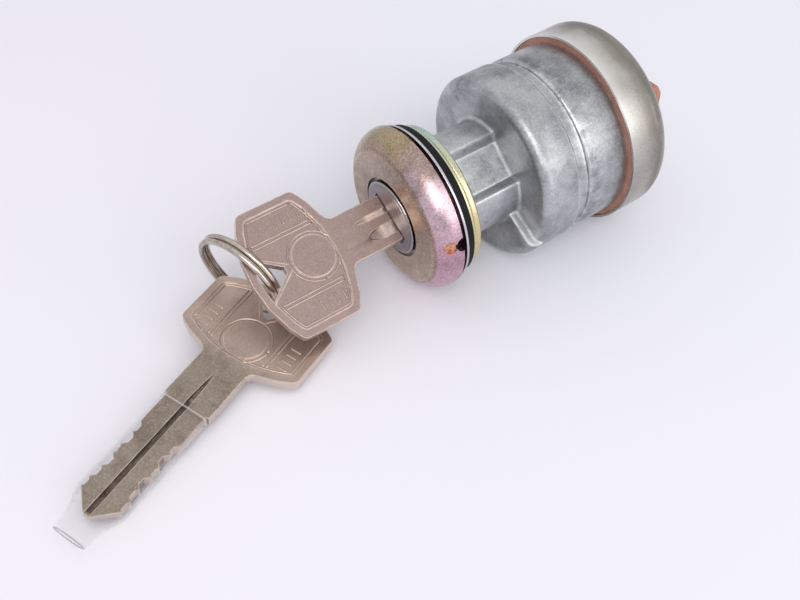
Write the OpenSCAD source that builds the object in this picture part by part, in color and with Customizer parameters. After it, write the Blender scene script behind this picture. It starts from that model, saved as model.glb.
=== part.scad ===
// Panel-mounted key switch for a vehicle's ignition, with its two keys on a split ring.
// The lock axis runs along Y: the key goes in from -Y and the wiring leaves at +Y.
// The origin lies on the lock axis, on the rear face of the panel gasket.

/* [Housing] */
// Radius of the nose that passes through the panel
nose_r = 10.8; // [10.2:0.1:11.4]
// Distance from the panel seat to the front face of the body
body_face = 15.1; // [12:0.1:18]
// Radius of the body's front section
body_r = 19.2; // [18.6:0.1:21]
// Length of the front section, up to the parting groove
front_len = 8.5; // [7:0.1:11]
// Width of the parting groove
groove_w = 2.4; // [0.8:0.1:3]
// Depth of the parting groove
groove_depth = 0.6; // [0.4:0.1:1.2]
// Length of the body behind its front face
body_len = 20.9; // [20:0.1:25]
// How far the rear section is drawn in
rear_drop = 0.3; // [0.1:0.05:0.6]
// Radius of the front shoulder
face_round = 2; // [1:0.1:4]
// Radius of the fillet where the neck meets the body
neck_fillet = 0.7; // [0.4:0.1:1.8]
// Width of the floor of the channels along the neck
channel_w = 7.5; // [5:0.1:8.5]
// Distance of the channel's floor from the lock axis
channel_floor = 7.9; // [7.7:0.1:9]
// Lean of the channel's walls for each millimetre of their height
channel_lean = 1.1; // [0.2:0.1:1.5]
// Direction of the first channel, from straight up towards +X
channel_angle = 41; // [0:1:90]
// Height of the stop pad on the body's front face
stop_h = 1.9; // [0.6:0.1:2.4]
// Offset of the pad's straight wall from the key's plane
stop_edge = 1.25; // [0:0.05:3]
// Sweep of the stop pad around the axis
stop_sweep = 75; // [50:1:88]
// Radius of the contact chamber
cavity_r = 13.6; // [13.2:0.1:14]
// Thickness of the wall between the neck and the contact chamber
web_t = 2.4; // [2.1:0.1:4]

/* [Panel stack] */
// Outer radius of the bezel nut
bezel_r = 17.1; // [16.4:0.1:18.5]
// Length of the bezel nut
bezel_len = 6.2; // [5.5:0.1:8]
// Thickness of the bezel's front lip and skirt
bezel_wall = 1.2; // [0.8:0.1:1.6]
// Radius of the bezel's domed side
dome_r = 5.2; // [5:0.1:7]
// Wall of the threaded sleeve inside the bezel
sleeve_wall = 1.6; // [1:0.1:2]
// Gap between the bezel's rim and the bright washer
rim_gap = 1; // [0.4:0.05:1.6]
// Radius of the rim notch
notch_r = 1.5; // [1:0.1:2]
// Radius of the spanner dimple beside the notch
dimple_r = 1.25; // [0.8:0.05:1.5]
// Depth of the spanner dimple
dimple_depth = 0.5; // [0.2:0.05:0.8]
// Tilt of the spanner dimple towards the bezel's face
dimple_tilt = 26; // [10:1:40]
// Direction of the notch, from straight up towards +X
notch_angle = 81; // [0:1:120]
// Thickness of the bright washer
bezel_washer_t = 0.5; // [0.3:0.05:0.8]
// Thickness of the rubber gasket
gasket_t = 1.8; // [0.8:0.05:2.4]
// Thickness of the back washer
back_washer_t = 0.9; // [0.6:0.05:1.5]
// Thickness of the back nut
back_nut_t = 1.5; // [1.2:0.05:3]
// How far the bright washer stays inside the bezel's rim
washer_inset = 0.5; // [0.2:0.05:1.2]
// How far the gasket stays inside the bezel's rim
gasket_inset = 1.2; // [0.4:0.05:1.6]
// How far the back washer and nut stay inside the bezel's rim
back_inset = 1.9; // [1.2:0.05:2.4]

/* [Lock] */
// Radius of the lock plug
plug_r = 6.6; // [6.4:0.05:6.9]
// How far the plug's head is wider than its barrel
head_step = 0.5; // [0.3:0.05:0.7]
// How far the plug's face stands ahead of the bezel
plug_proud = 0.5; // [0.2:0.05:1]
// Wall of the bright ferrule round the plug's head
ferrule_wall = 0.65; // [0.5:0.05:0.9]
// Depth of the ferrule's seat in the nose
ferrule_depth = 2.8; // [2:0.1:4]
// Gap between the ferrule and the bezel's lip
bezel_gap = 0.7; // [0.4:0.05:1]
// Turn of the key about the lock axis in the off position
key_roll = 30.5; // [0:0.5:60]
// Gap round the key's shank at the mouth of the keyway
mouth_gap = 0.4; // [0.2:0.05:0.6]
// Depth of the mouth of the keyway
mouth_depth = 0.8; // [0.4:0.05:1.2]
// Distance from the key's shoulder to the first wafer
wafer_start = 8.2; // [7.5:0.1:9]
// Spacing of the wafers
wafer_spacing = 2.5; // [2.3:0.05:2.6]
// Thickness of a wafer
wafer_t = 1; // [0.8:0.05:1.1]
// Width of a wafer
wafer_w = 6; // [5.4:0.1:6.4]
// Turn of the plug from off to start
start_angle = 95; // [80:1:110]

/* [Switch] */
// Radius of the rotor
rotor_r = 12.6; // [12.2:0.1:12.9]
// Thickness of the rotor
rotor_t = 8.4; // [7.5:0.1:9]
// Radius of the rotor's front hub
hub_r = 6.2; // [5.8:0.1:6.6]
// Radius of the detent ball
ball_r = 1.5; // [1.2:0.1:1.7]
// Radius at which the contacts sit
contact_r = 7.7; // [7.2:0.1:8.2]
// Width of a terminal blade
blade_term_w = 6.3; // [4.8:0.1:6.5]
// Thickness of a terminal blade
blade_term_t = 0.8; // [0.6:0.05:1]
// Width of the connector shroud
shroud_w = 22.6; // [22:0.1:23.4]
// Height of the connector shroud
shroud_h = 19.4; // [19:0.1:20]
// Wall of the connector shroud
shroud_wall = 1.5; // [1.2:0.1:1.8]
// Chamfer on the shroud's corners
shroud_chamfer = 1; // [0.6:0.1:2.4]
// How far the shroud stands out of the rear cap
shroud_out = 5.1; // [3:0.1:8]
// Depth of the connector socket
socket_depth = 10; // [8:0.1:11]
// Turn of the connector about the lock axis
shroud_turn = 0; // [-5:1:5]

/* [Rear cap] */
// Outer radius of the rear cap
cap_r = 20.6; // [20.5:0.1:22.5]
// Length of the rear cap
cap_len = 10.1; // [9.8:0.1:13]
// Sheet thickness of the rear cap
cap_wall = 0.5; // [0.4:0.05:0.8]
// Rounding of the cap's rear edge
cap_round = 3; // [1.5:0.1:3.2]
// How far the cap's lip covers the body
cap_cover = 0.2; // [0.1:0.05:1]
// Thickness of the insulating base's flange
flange_t = 2.6; // [2:0.1:4]
// Radius of the circle of base screws
screw_circle = 15.4; // [15.2:0.05:15.5]
// Radius of a base screw's shank
screw_r = 1.2; // [1:0.05:1.3]

/* [Keys] */
// Width of the key's shank
shank_w = 10; // [9.6:0.1:10.6]
// Width of the key's blade
blade_w = 8.8; // [8.4:0.1:9]
// Length of the key's blade past its shoulder
blade_len = 25; // [24:0.1:25.5]
// Thickness of the key
key_t = 2.2; // [2:0.05:2.3]
// Width of the key's bow
bow_w = 26.8; // [24:0.1:30]
// Distance from the shoulder to the bow
bow_start = 11.2; // [9:0.1:14]
// Length of the bow along its middle
bow_len = 19.3; // [17:0.1:24]
// Radius of the bow's two curved ends
bow_arc = 26.7; // [20:0.1:40]
// Rounding of the bow's corners
bow_corner = 1.3; // [0.6:0.1:2.5]
// Width of the strip between the bow's hole and its end
end_strip = 1.6; // [1.4:0.05:2.5]
// Length of the bow's three-cornered hole
hole_len = 5.4; // [5.2:0.1:7]
// Half width of the hole at its base
hole_half = 4.7; // [4.4:0.1:6]
// Depth of the panel pressed into the bow
panel_depth = 0.25; // [0.1:0.05:0.4]
// Width of the plain border round the panel
panel_border = 1.5; // [1:0.1:2.5]
// Distance that the key's grooves run past the shoulder into the shank
groove_run = 7.5; // [5:0.1:9]
// Depth of the key's grooves
groove_cut = 0.65; // [0.4:0.05:0.7]
// Width of the key's narrow grooves
groove_narrow = 1.1; // [0.8:0.05:1.4]
// Width of the key's wide groove
groove_wide = 2.5; // [1.8:0.05:2.8]
// Radius of the cutter that leaves the grooves' sloping ends
cutter_r = 8; // [5:0.1:12]
// Mean radius of the split ring
ring_r = 9.2; // [9:0.1:10]
// Radius of the split ring's wire
ring_wire = 0.6; // [0.5:0.05:0.65]
// Wall of the clear sleeve on the spare key
tube_wall = 0.3; // [0.2:0.05:0.5]
// How far the clear sleeve reaches past the tip of the spare key
tube_past = 4.4; // [2:0.1:8]
// Half width of the sleeve's free end
tube_end_w = 3.3; // [2.6:0.1:4]
// Half height of the sleeve's free end
tube_end_h = 1.4; // [1.1:0.1:2]

/* [Hidden] */
$fn = 96;
tiny = 0.01;
over = 1;
run_gap = 0.05;
fit_gap = 0.02;
blade_gap = 0.12;

// Stations along the lock axis, from the panel stack forwards
gasket_y = -gasket_t;
bezel_rear = gasket_y - bezel_washer_t;
bezel_front = bezel_rear - bezel_len;
rim_y = bezel_rear - rim_gap;
rim_len = 0.3;
dome_y = rim_y - rim_len;
nose_y = bezel_front + bezel_wall;
plug_face = bezel_front - plug_proud;
seat_y = nose_y + ferrule_depth;
back_nut_y = back_washer_t;
stack_end = back_washer_t + back_nut_t;
thread_gap = 0.05;
stack_round = 0.25;
nut_inset = 0.2;
nut_round = 0.5;

// Stations along the lock axis, from the body backwards
body_end = body_face + body_len;
groove_y = body_face + front_len;
groove_round = 0.5;
channel_start = 0.4;
rear_r = body_r - rear_drop;
web_y = body_face + web_t;
clip_t = 1;
clip_y = web_y + run_gap;
clip_bite = 1;
clip_groove_r = plug_r - clip_bite;
clip_out = 1.8;
clip_mouth = 0.7;
plug_tail = 0.9;
plug_end = clip_y + clip_t + plug_tail;
tang_len = 6.4;
tang_w = 7;
tang_t = 3;
head_t = 0.6;
head_y = body_end - head_t;
contact_gap = 0.1;
contact_bump = 1.15;
contact_plate_t = 1;
contact_plate_y = head_y - contact_gap - contact_bump - contact_plate_t;
plate_gap = 0.2;
rotor_end = contact_plate_y - plate_gap;
rotor_y = rotor_end - rotor_t;
hub_len = rotor_y - plug_end;
cap_lip = body_end - cap_cover;
cap_end = cap_lip + cap_len;
cap_floor = cap_end - cap_wall;
flange_r = cap_r - cap_wall - run_gap;
block_gap = 0.6;
block_r = flange_r - cap_round - block_gap;
spigot_len = 1.2;
spigot_gap = 0.3;
shroud_end = cap_end + shroud_out;
socket_floor = shroud_end - socket_depth;
shroud_gap = 0.3;

// Radii round the plug's head
head_r = plug_r + head_step;
ferrule_in = head_r + run_gap;
ferrule_r = ferrule_in + ferrule_wall;
ferrule_set = 0.1;
ferrule_round = 0.3;
bezel_bore = ferrule_r + bezel_gap;
thread_r = nose_r + thread_gap;
washer_gap = 0.2;
washer_in = nose_r + washer_gap;

// Wafers: depth of each cut in the key, from the shoulder to the tip
cut_depths = [0.7, 1.1, 0.5, 1.1, 0.8, 0.4];
cut_flat = 1.2;
wafer_slack = 0.07;
wafer_edge = plug_r - 2 * wafer_slack;
lug_x = 2.2;
lug_room = 0.8;
lug_len = 1.4;
lug_rise = 1.6;
lock_groove = 1.5;
lock_gap = 0.2;

// Detent positions of the rotor: off, accessories, on and start
detent_stops = [0, 0.3, 0.65, 1];
detent_angle = -60;
ball_gap = 0.3;
ball_seat = cavity_r - ball_gap - ball_r;
ball_y = rotor_y + rotor_t / 2;
notch_room = 0.4;
detent_floor = 5.2;

// Contacts and springs of the switch
pocket_r = 1.7;
pocket_depth = 4.2;
bump_r = 1.4;
arm_w = 3.2;
arm_tip_r = 2.2;
spring_wire = 0.45;
spring_room = 0.3;
spring_leg = 3.4;
spring_turns = 4;
wafer_coil_r = 0.36;
wafer_wire = 0.11;
wafer_coil_past = 0.7;
detent_wire = 0.2;
detent_coil_in = 0.4;
contact_wire = 0.22;
contact_coil_in = 0.45;
rotor_round = 0.6;

// Terminals: name order is battery, accessory, ignition, start, resistor
corner_dx = 6.5;
corner_dz = sqrt(pow(contact_r, 2) - pow(corner_dx, 2));
blade_tip = 2;
blade_tip_w = 1.3;
blade_short = 1.6;
contact_head_r = 2.1;
arm_turn = -10;

// Places of the five blades in the socket: [x, z, turn about the lock axis]
blade_places = [
    [0, 0, 0],
    [-corner_dx, corner_dz, 90],
    [corner_dx, corner_dz, 90],
    [corner_dx, -corner_dz, 90],
    [-corner_dx, -corner_dz, 90]
];

// Base screws, whose holes end behind the detent's notches
screw_turns = [90, 210, 330];
screw_tip_gap = 0.3;
screw_floor = ball_y + ball_r + notch_room + screw_tip_gap;
screw_head_r = 2.1;
screw_head_t = 1.3;
screw_slot = 0.6;
screw_hole_gap = 0.15;

// Keys: middle of the bow's hole, measured from the shoulder
bow_end = bow_start + bow_len;
hole_centre = 2;
hole_tip = 0.6;
hole_spread = 1.25;
hole_mid = bow_end - end_strip - hole_centre;
hole_rim = 0.8;
boss_place = 0.32;
boss_size = 0.22;
neck_round = 1.8;
neck_depth = 2;
groove_narrow_x = -1.7;
groove_wide_x = 2;
tip_len = 3.4;
tip_half = 0.9;
tip_gap = 0.6;
hole_y = plug_face - hole_mid;

// Places of the ring and of the spare key, measured from the inserted key's hole
ring_offset = [-7.7, -2.7, -3.3];
ring_tilt = 83.6;
ring_turn = 110.3;
ring_turns = 1.84;
ring_cross = 80;
ring_gap = 0.1;
spare_offset = [-1.5, 0.3, -10.2];
spare_turn = [178.6, 10.8, 24.6];

// Sections of the clear sleeve: [station, half width, half height, squareness]
tube_side = blade_w / 2 + blade_gap;
tube_room = 0.5;
tube_top = key_t / 2 + tube_room;
tube_start = 0.5;
tube_draw = 0.3;
tube_neck = 0.7;
tube_neck_y = 0.5;
tube_lip = 0.2;
tube_lip_y = 1.5;
tube_end_x = tube_end_w - tube_wall;
tube_end_z = tube_end_h - tube_wall;
tube_stations = [
    [tube_start, tube_side, tube_top, 6],
    [blade_len - tip_len, tube_side, tube_top, 6],
    [blade_len - tip_len / 2, tube_side - tube_draw, tube_top, 4],
    [blade_len - tube_neck_y, tube_end_x + tube_neck, tube_top - tube_draw / 3, 3],
    [blade_len + tube_lip_y, tube_end_x + tube_lip, (tube_top + tube_end_z) / 2, 2.4],
    [blade_len + tube_past, tube_end_x, tube_end_z, 2]
];

// Stands children's Z axis along the lock axis, starting at station y
module along_axis(y = 0) {
    translate([0, y, 0])
        rotate([-90, 0, 0])
            children();
}

// Turns children about the lock axis, from straight up towards +X
module around(angle) {
    rotate([0, angle, 0])
        children();
}

// Round bar on the lock axis
module rod(r, y0, y1) {
    along_axis(y0)
        cylinder(r = r, h = y1 - y0);
}

// Ring on the lock axis
module ring(r_out, r_in, y0, y1) {
    difference() {
        rod(r_out, y0, y1);
        rod(r_in, y0 - over, y1 + over);
    }
}

// Turned form from a half section of radius and station
module lathe() {
    along_axis()
        rotate_extrude()
            children();
}

// Half section of a bar whose outer corners are rounded
module bar_section(r, y0, y1, round0, round1) {
    difference() {
        translate([0, y0])
            square([r, y1 - y0]);
        corner_waste(r, y0, round0, 1);
        corner_waste(r, y1, round1, -1);
    }
}

// What a rounding takes off an outer corner, where side is 1 at a front corner
module corner_waste(r, y, round, side) {
    if (round > 0)
        translate([r - round, y + side * round])
            difference() {
                translate([0, side > 0 ? -round - tiny : 0])
                    square([round + tiny, round + tiny]);
                circle(r = round);
            }
}

// Round wire swept along points that stay close to level
module wire(path, r, sides) {
    last = len(path) - 1;
    skin = [
        for (k = [0 : last])
            let (
                ahead = path[min(k + 1, last)] - path[max(k - 1, 0)],
                tangent = ahead / norm(ahead),
                side = cross(tangent, [0, 0, 1]),
                out = side / norm(side),
                up = cross(out, tangent)
            )
            for (s = [0 : sides - 1])
                path[k] + r * (cos(s * 360 / sides) * out + sin(s * 360 / sides) * up)
    ];
    faces = [
        for (k = [0 : last - 1], s = [0 : sides - 1])
            let (a = k * sides, b = (k + 1) * sides, n = (s + 1) % sides)
            each [[a + s, a + n, b + n], [a + s, b + n, b + s]]
    ];
    front = [[for (s = [sides - 1 : -1 : 0]) s]];
    back = [[for (s = [0 : sides - 1]) last * sides + s]];
    polyhedron(skin, concat(faces, front, back));
}

// Points of a coil about Z that climbs from 0 to h
function coil_path(r, h, turns, steps) = [
    for (k = [0 : turns * steps])
        let (a = 360 * k / steps)
        [r * cos(a), r * sin(a), h * k / (turns * steps)]
];

// Compression spring standing on Z = 0, with its wire inside the length
module spring(r, wire_r, length, turns) {
    translate([0, 0, wire_r])
        wire(coil_path(r, length - 2 * wire_r, turns, 10), wire_r, 6);
}

// Neck and body as cast, before any boring
module body_casting() {
    difference() {
        lathe() {
            square_to_axis(nose_r, nose_y, body_face + over);
            neck_root();
        }
        for (side = [0, 180])
            around(channel_angle + side)
                neck_channel();
    }
    lathe() {
        bar_section(body_r, body_face, groove_y, face_round, groove_round);
        bar_section(rear_r - groove_depth, groove_y - tiny, groove_y + groove_w + tiny, 0, 0);
        bar_section(rear_r, groove_y + groove_w, body_end, groove_round, 0);
    }
    stop_pad();
}

// Fillet between the neck and the body's face
module neck_root() {
    translate([nose_r - tiny, body_face - neck_fillet])
        difference() {
            square([neck_fillet + tiny, neck_fillet + tiny]);
            translate([neck_fillet + tiny, 0])
                circle(r = neck_fillet);
        }
}

// Channel along the neck with leaning walls, drawn straight up
module neck_channel() {
    channel_y = stack_end + channel_start;
    half = channel_w / 2;
    reach = half + channel_lean * (nose_r - channel_floor + over);
    translate([0, body_face, 0])
        rotate([90, 0, 0])
            linear_extrude(body_face - channel_y)
                polygon([
                    [-half, channel_floor], [half, channel_floor],
                    [reach, nose_r + over], [-reach, nose_r + over]
                ]);
}

// Raised part of the body's face, with one straight wall beside the key's plane
module stop_pad() {
    reach = 2 * body_r;
    around(key_roll)
        intersection() {
            lathe()
                bar_section(body_r, body_face - stop_h, body_face + over, face_round, 0);
            translate([0, body_face - stop_h, stop_edge])
                rotate([-90, 0, 0])
                    linear_extrude(stop_h + over)
                        polygon([
                            [0, 0], [reach, 0], [reach, reach * tan(stop_sweep / 2)],
                            [reach * cos(stop_sweep), reach * sin(stop_sweep)]
                        ]);
        }
}

module body() {
    color("slategray")
        difference() {
            body_casting();
            rod(plug_r + run_gap, nose_y - over, web_y + over);
            rod(ferrule_r + fit_gap, nose_y - over, seat_y);
            wafer_locks();
            rod(cavity_r, web_y, body_end + over);
            detent_notches();
            at_screws()
                rod(screw_r + fit_gap, screw_floor, body_end + over);
        }
}

// Grooves beside the plug that the wafers enter when the key is out
module wafer_locks() {
    first = plug_face + wafer_start - wafer_t;
    lock_len = wafer_spacing * (len(cut_depths) - 1) + 2 * wafer_t;
    around(key_roll)
        translate([-plug_r - lock_groove, first, -wafer_w / 2 - lock_gap])
            cube([2 * (plug_r + lock_groove), lock_len, wafer_w + 2 * lock_gap]);
}

// Notches that the detent ball drops into
module detent_notches() {
    for (stop = detent_stops)
        around(detent_angle + stop * start_angle)
            translate([0, ball_y - ball_r - notch_room, cavity_r - notch_room])
                rotate([-90, 0, 0])
                    cylinder(r = ball_r, h = 2 * (ball_r + notch_room));
}

// Copies children round the circle of base screws
module at_screws() {
    for (turn = screw_turns)
        around(turn)
            translate([0, 0, screw_circle])
                children();
}

// Half section of the bezel's flat face, domed side and plain rim
module bezel_section(r, dome, front, rear) {
    intersection() {
        square_to_axis(r, front, rear);
        union() {
            translate([r - dome, dome_y])
                circle(r = dome);
            square_to_axis(r - dome, front, rear);
            square_to_axis(r, dome_y, rear);
        }
    }
}

// Half section from the axis out to radius r
module square_to_axis(r, y0, y1) {
    translate([0, y0])
        square([r, y1 - y0]);
}

module bezel_nut() {
    color("darkkhaki")
        difference() {
            lathe()
                difference() {
                    bezel_section(bezel_r, dome_r, bezel_front, rim_y);
                    bezel_section(bezel_r - bezel_wall, dome_r - bezel_wall, nose_y, rim_y + over);
                    square_to_axis(bezel_bore, bezel_front - over, rim_y + over);
                }
            around(notch_angle)
                rim_notch();
        }
    color("darkkhaki")
        ring(thread_r + sleeve_wall, thread_r, nose_y - tiny, bezel_rear);
}

// Notch in the bezel's rim with the spanner dimple beside it, drawn straight up
module rim_notch() {
    translate([0, rim_y, bezel_r - 2 * bezel_wall])
        cylinder(r = notch_r, h = 3 * bezel_wall);
    translate([0, dome_y, bezel_r - dome_r])
        rotate([dimple_tilt, 0, 0])
            translate([0, 0, dome_r - dimple_depth])
                cylinder(r = dimple_r, h = 2 * dimple_depth);
}

module bezel_washer() {
    color("silver")
        ring(bezel_r - washer_inset, washer_in, bezel_rear, gasket_y);
}

module panel_gasket() {
    color("black")
        ring(bezel_r - gasket_inset, washer_in, gasket_y, 0);
}

module back_washer() {
    color("palegoldenrod")
        lathe()
            difference() {
                bar_section(bezel_r - back_inset, 0, back_washer_t, stack_round, stack_round);
                square_to_axis(washer_in, -over, back_washer_t + over);
            }
}

module back_nut() {
    color("palegoldenrod")
        lathe()
            difference() {
                bar_section(bezel_r - back_inset - nut_inset, back_nut_y, stack_end, stack_round, nut_round);
                square_to_axis(thread_r, back_nut_y - over, stack_end + over);
            }
}

module plug_ferrule() {
    color("gainsboro")
        lathe()
            difference() {
                bar_section(ferrule_r, plug_face + ferrule_set, seat_y, ferrule_round, 0);
                square_to_axis(ferrule_in, plug_face - over, seat_y + over);
            }
}

// Cross section of the key's blade before its grooves, grown by a gap
module blade_section(gap) {
    square([blade_w + 2 * gap, key_t + 2 * gap], center = true);
}

// Half section of the grooves milled into the key, shrunk by a gap
module groove_section(gap) {
    narrow = groove_narrow - 2 * gap;
    wide = groove_wide - 2 * gap;
    face = key_t / 2 - groove_cut + gap;
    translate([groove_narrow_x - narrow / 2, face])
        square([narrow, groove_cut + over]);
    translate([groove_wide_x - wide / 2, face])
        square([wide, groove_cut + over]);
    translate([-narrow / 2, -face - groove_cut - over])
        square([narrow, groove_cut + over]);
}

// Sloping ends that the cutter leaves where the grooves stop in the shank
module groove_ends() {
    rise = key_t / 2 - groove_cut + cutter_r;
    cuts = [
        [groove_narrow_x, groove_narrow, 1],
        [groove_wide_x, groove_wide, 1],
        [0, groove_narrow, -1]
    ];
    for (cut = cuts)
        translate([cut[0] - cut[1] / 2, -groove_run, cut[2] * rise])
            rotate([0, 90, 0])
                cylinder(r = cutter_r, h = cut[1]);
}

// Keyway with wards that follow the key's grooves, and a wider mouth
module keyway() {
    depth = blade_len + tip_gap;
    translate([0, plug_face + depth, 0])
        rotate([90, 0, 0])
            linear_extrude(depth + over)
                difference() {
                    blade_section(blade_gap);
                    groove_section(blade_gap);
                }
    mouth_w = shank_w + 2 * mouth_gap;
    mouth_h = key_t + 2 * mouth_gap;
    translate([-mouth_w / 2, plug_face - over, -mouth_h / 2])
        cube([mouth_w, mouth_depth + over, mouth_h]);
}

// Copies children to each wafer's place, turned over at every second one
module at_wafers() {
    for (i = [0 : len(cut_depths) - 1])
        translate([0, plug_face + wafer_start + i * wafer_spacing, 0])
            rotate([0, (i % 2) * 180, 0]) {
                $cut = cut_depths[i];
                children();
            }
}

// Room for one wafer and its spring
module wafer_slot() {
    slot_t = wafer_t + 2 * wafer_slack;
    translate([-plug_r - over, -slot_t / 2, -wafer_w / 2 - wafer_slack])
        cube([2 * (plug_r + over), slot_t, wafer_w + 2 * wafer_slack]);
    translate([-lug_x - lug_room, -slot_t / 2, 0])
        cube([2 * (lug_x + lug_room) + lug_len, slot_t, wafer_w / 2 + lug_rise + wafer_slack]);
}

module lock_plug() {
    color("rosybrown")
        difference() {
            union() {
                rod(head_r, plug_face, seat_y - run_gap);
                rod(plug_r, plug_face + tiny, plug_end);
                around(key_roll)
                    translate([-tang_w / 2, plug_end - over, -tang_t / 2])
                        cube([tang_w, tang_len + over, tang_t]);
            }
            ring(plug_r + over, clip_groove_r, clip_y, clip_y + clip_t);
            around(key_roll) {
                keyway();
                at_wafers()
                    wafer_slot();
            }
        }
}

// One wafer whose window rests on the cut on the key's +X edge
module wafer() {
    window_h = key_t + 2 * blade_gap;
    near = blade_w / 2 - $cut + wafer_slack;
    far = blade_w / 2 + blade_gap;
    difference() {
        intersection() {
            translate([-plug_r, -wafer_t / 2, -wafer_w / 2])
                cube([2 * plug_r, wafer_t, wafer_w]);
            rod(wafer_edge, -wafer_t, wafer_t);
        }
        translate([-far, -wafer_t, -window_h / 2])
            cube([far + near, 2 * wafer_t, window_h]);
    }
    translate([lug_x, -wafer_t / 2, wafer_w / 2 - tiny])
        cube([lug_len, wafer_t, lug_rise]);
}

module wafer_tumblers() {
    color("goldenrod")
        around(key_roll)
            at_wafers()
                wafer();
}

module wafer_springs() {
    spring_len = 2 * lug_x + wafer_coil_past;
    color("silver")
        around(key_roll)
            at_wafers()
                translate([lug_x - spring_len - run_gap, 0, wafer_w / 2 + lug_rise / 2])
                    rotate([0, 90, 0])
                        spring(wafer_coil_r, wafer_wire, spring_len, spring_turns);
}

module plug_clip() {
    clip_r = plug_r + clip_out;
    color("silver")
        difference() {
            ring(clip_r, clip_groove_r + fit_gap, clip_y, clip_y + clip_t);
            around(key_roll)
                translate([-clip_groove_r * clip_mouth, clip_y - over, 0])
                    cube([2 * clip_groove_r * clip_mouth, clip_t + 2 * over, 2 * clip_r]);
        }
}

// Copies children to the two arms of the moving contact
module at_arms() {
    for (side = [0, 180])
        around(arm_turn + side)
            translate([0, 0, contact_r])
                children();
}

module rotor() {
    color("saddlebrown")
        difference() {
            union() {
                rod(hub_r, plug_end, rotor_y + over);
                lathe()
                    bar_section(rotor_r, rotor_y, rotor_end, rotor_round, rotor_round);
            }
            around(key_roll)
                translate([-tang_w / 2 - run_gap, plug_end - over, -tang_t / 2 - run_gap])
                    cube([tang_w + 2 * run_gap, tang_len + over + plate_gap, tang_t + 2 * run_gap]);
            at_arms()
                rod(pocket_r, rotor_end - pocket_depth, rotor_end + over);
            at_detent()
                cylinder(r = ball_r + run_gap, h = rotor_r);
        }
}

// Stands children's Z axis along the detent's bore, starting at its floor
module at_detent() {
    around(detent_angle)
        translate([0, ball_y, detent_floor])
            children();
}

module detent_ball() {
    color("lightgray")
        at_detent()
            translate([0, 0, ball_seat - detent_floor])
                sphere(r = ball_r);
}

module detent_spring() {
    spring_len = ball_seat - ball_r - detent_floor - run_gap;
    color("silver")
        at_detent()
            spring(ball_r - detent_coil_in, detent_wire, spring_len, spring_turns);
}

module return_spring() {
    coil_r = hub_r + spring_wire + spring_room;
    coil_h = hub_len - 2 * (spring_wire + spring_room) - 2 * run_gap;
    turns = max(1, floor(coil_h / (2 * spring_wire + run_gap)));
    leg = coil_r + spring_leg;
    bend = coil_r + 2 * spring_wire;
    coil = coil_path(coil_r, coil_h, turns, 20);
    front_leg = [[leg, -spring_room, 0], [bend, -spring_room, 0]];
    back_leg = [[bend, spring_room, coil_h], [leg, spring_room, coil_h]];
    middle = [for (k = [1 : len(coil) - 2]) coil[k]];
    color("dimgray")
        along_axis(plug_end + spring_room + spring_wire + run_gap)
            wire(concat(front_leg, middle, back_leg), spring_wire, 8);
}

module moving_contact() {
    plate_end = contact_plate_y + contact_plate_t;
    bump_end = head_y - contact_gap;
    color("peru") {
        rod(arm_w, contact_plate_y, plate_end);
        rod(bump_r, contact_plate_y, bump_end);
        around(arm_turn)
            translate([-arm_w / 2, contact_plate_y, -contact_r])
                cube([arm_w, contact_plate_t, 2 * contact_r]);
        at_arms() {
            rod(arm_tip_r, contact_plate_y, plate_end);
            rod(bump_r, contact_plate_y, bump_end);
        }
    }
}

module contact_springs() {
    spring_len = pocket_depth + plate_gap - 2 * fit_gap;
    color("silver")
        at_arms()
            along_axis(rotor_end - pocket_depth + fit_gap)
                spring(pocket_r - contact_coil_in, contact_wire, spring_len, spring_turns);
}

// Outline of the connector shroud, grown or shrunk by a margin
module shroud_outline(margin) {
    half_w = shroud_w / 2 + margin;
    half_h = shroud_h / 2 + margin;
    c = shroud_chamfer;
    polygon([
        [half_w, half_h - c], [half_w - c, half_h], [c - half_w, half_h], [-half_w, half_h - c],
        [-half_w, c - half_h], [c - half_w, -half_h], [half_w - c, -half_h], [half_w, c - half_h]
    ]);
}

// Prism of the shroud's outline between two stations
module shroud_prism(margin, y0, y1) {
    around(shroud_turn)
        along_axis(y0)
            linear_extrude(y1 - y0)
                shroud_outline(margin);
}

// Stands children at one blade's place
module at_blade(i) {
    around(shroud_turn)
        translate([blade_places[i][0], 0, blade_places[i][1]])
            around(blade_places[i][2])
                children();
}

module terminal_base() {
    spigot_r = cavity_r - run_gap;
    spigot_wall = cavity_r - rotor_r - spigot_gap;
    color("sienna")
        difference() {
            union() {
                ring(spigot_r, spigot_r - spigot_wall, body_end - spigot_len, body_end + tiny);
                rod(flange_r, body_end, body_end + flange_t);
                rod(block_r, body_end, cap_floor);
                shroud_prism(0, body_end + flange_t, shroud_end);
            }
            shroud_prism(-shroud_wall, socket_floor, shroud_end + over);
            for (i = [0 : len(blade_places) - 1])
                at_blade(i)
                    translate([-blade_term_w / 2 - fit_gap, body_end - over, -blade_term_t / 2 - fit_gap])
                        cube([blade_term_w + 2 * fit_gap, socket_floor, blade_term_t + 2 * fit_gap]);
            at_screws()
                rod(screw_r + screw_hole_gap, body_end - 2 * over, cap_end);
        }
}

// One terminal: a contact head on the base's face and a blade in the socket
module terminal(i) {
    end = shroud_end - blade_short;
    half = blade_term_w / 2;
    color("darkgoldenrod")
        at_blade(i) {
            rod(contact_head_r, head_y, body_end);
            translate([0, 0, -blade_term_t / 2])
                linear_extrude(blade_term_t)
                    polygon([
                        [-half, body_end - tiny], [half, body_end - tiny], [half, end - blade_tip],
                        [half - blade_tip_w, end], [blade_tip_w - half, end], [-half, end - blade_tip]
                    ]);
        }
}

module terminal_battery() {
    terminal(0);
}

module terminal_accessory() {
    terminal(1);
}

module terminal_ignition() {
    terminal(2);
}

module terminal_start() {
    terminal(3);
}

module terminal_resistor() {
    terminal(4);
}

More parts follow.
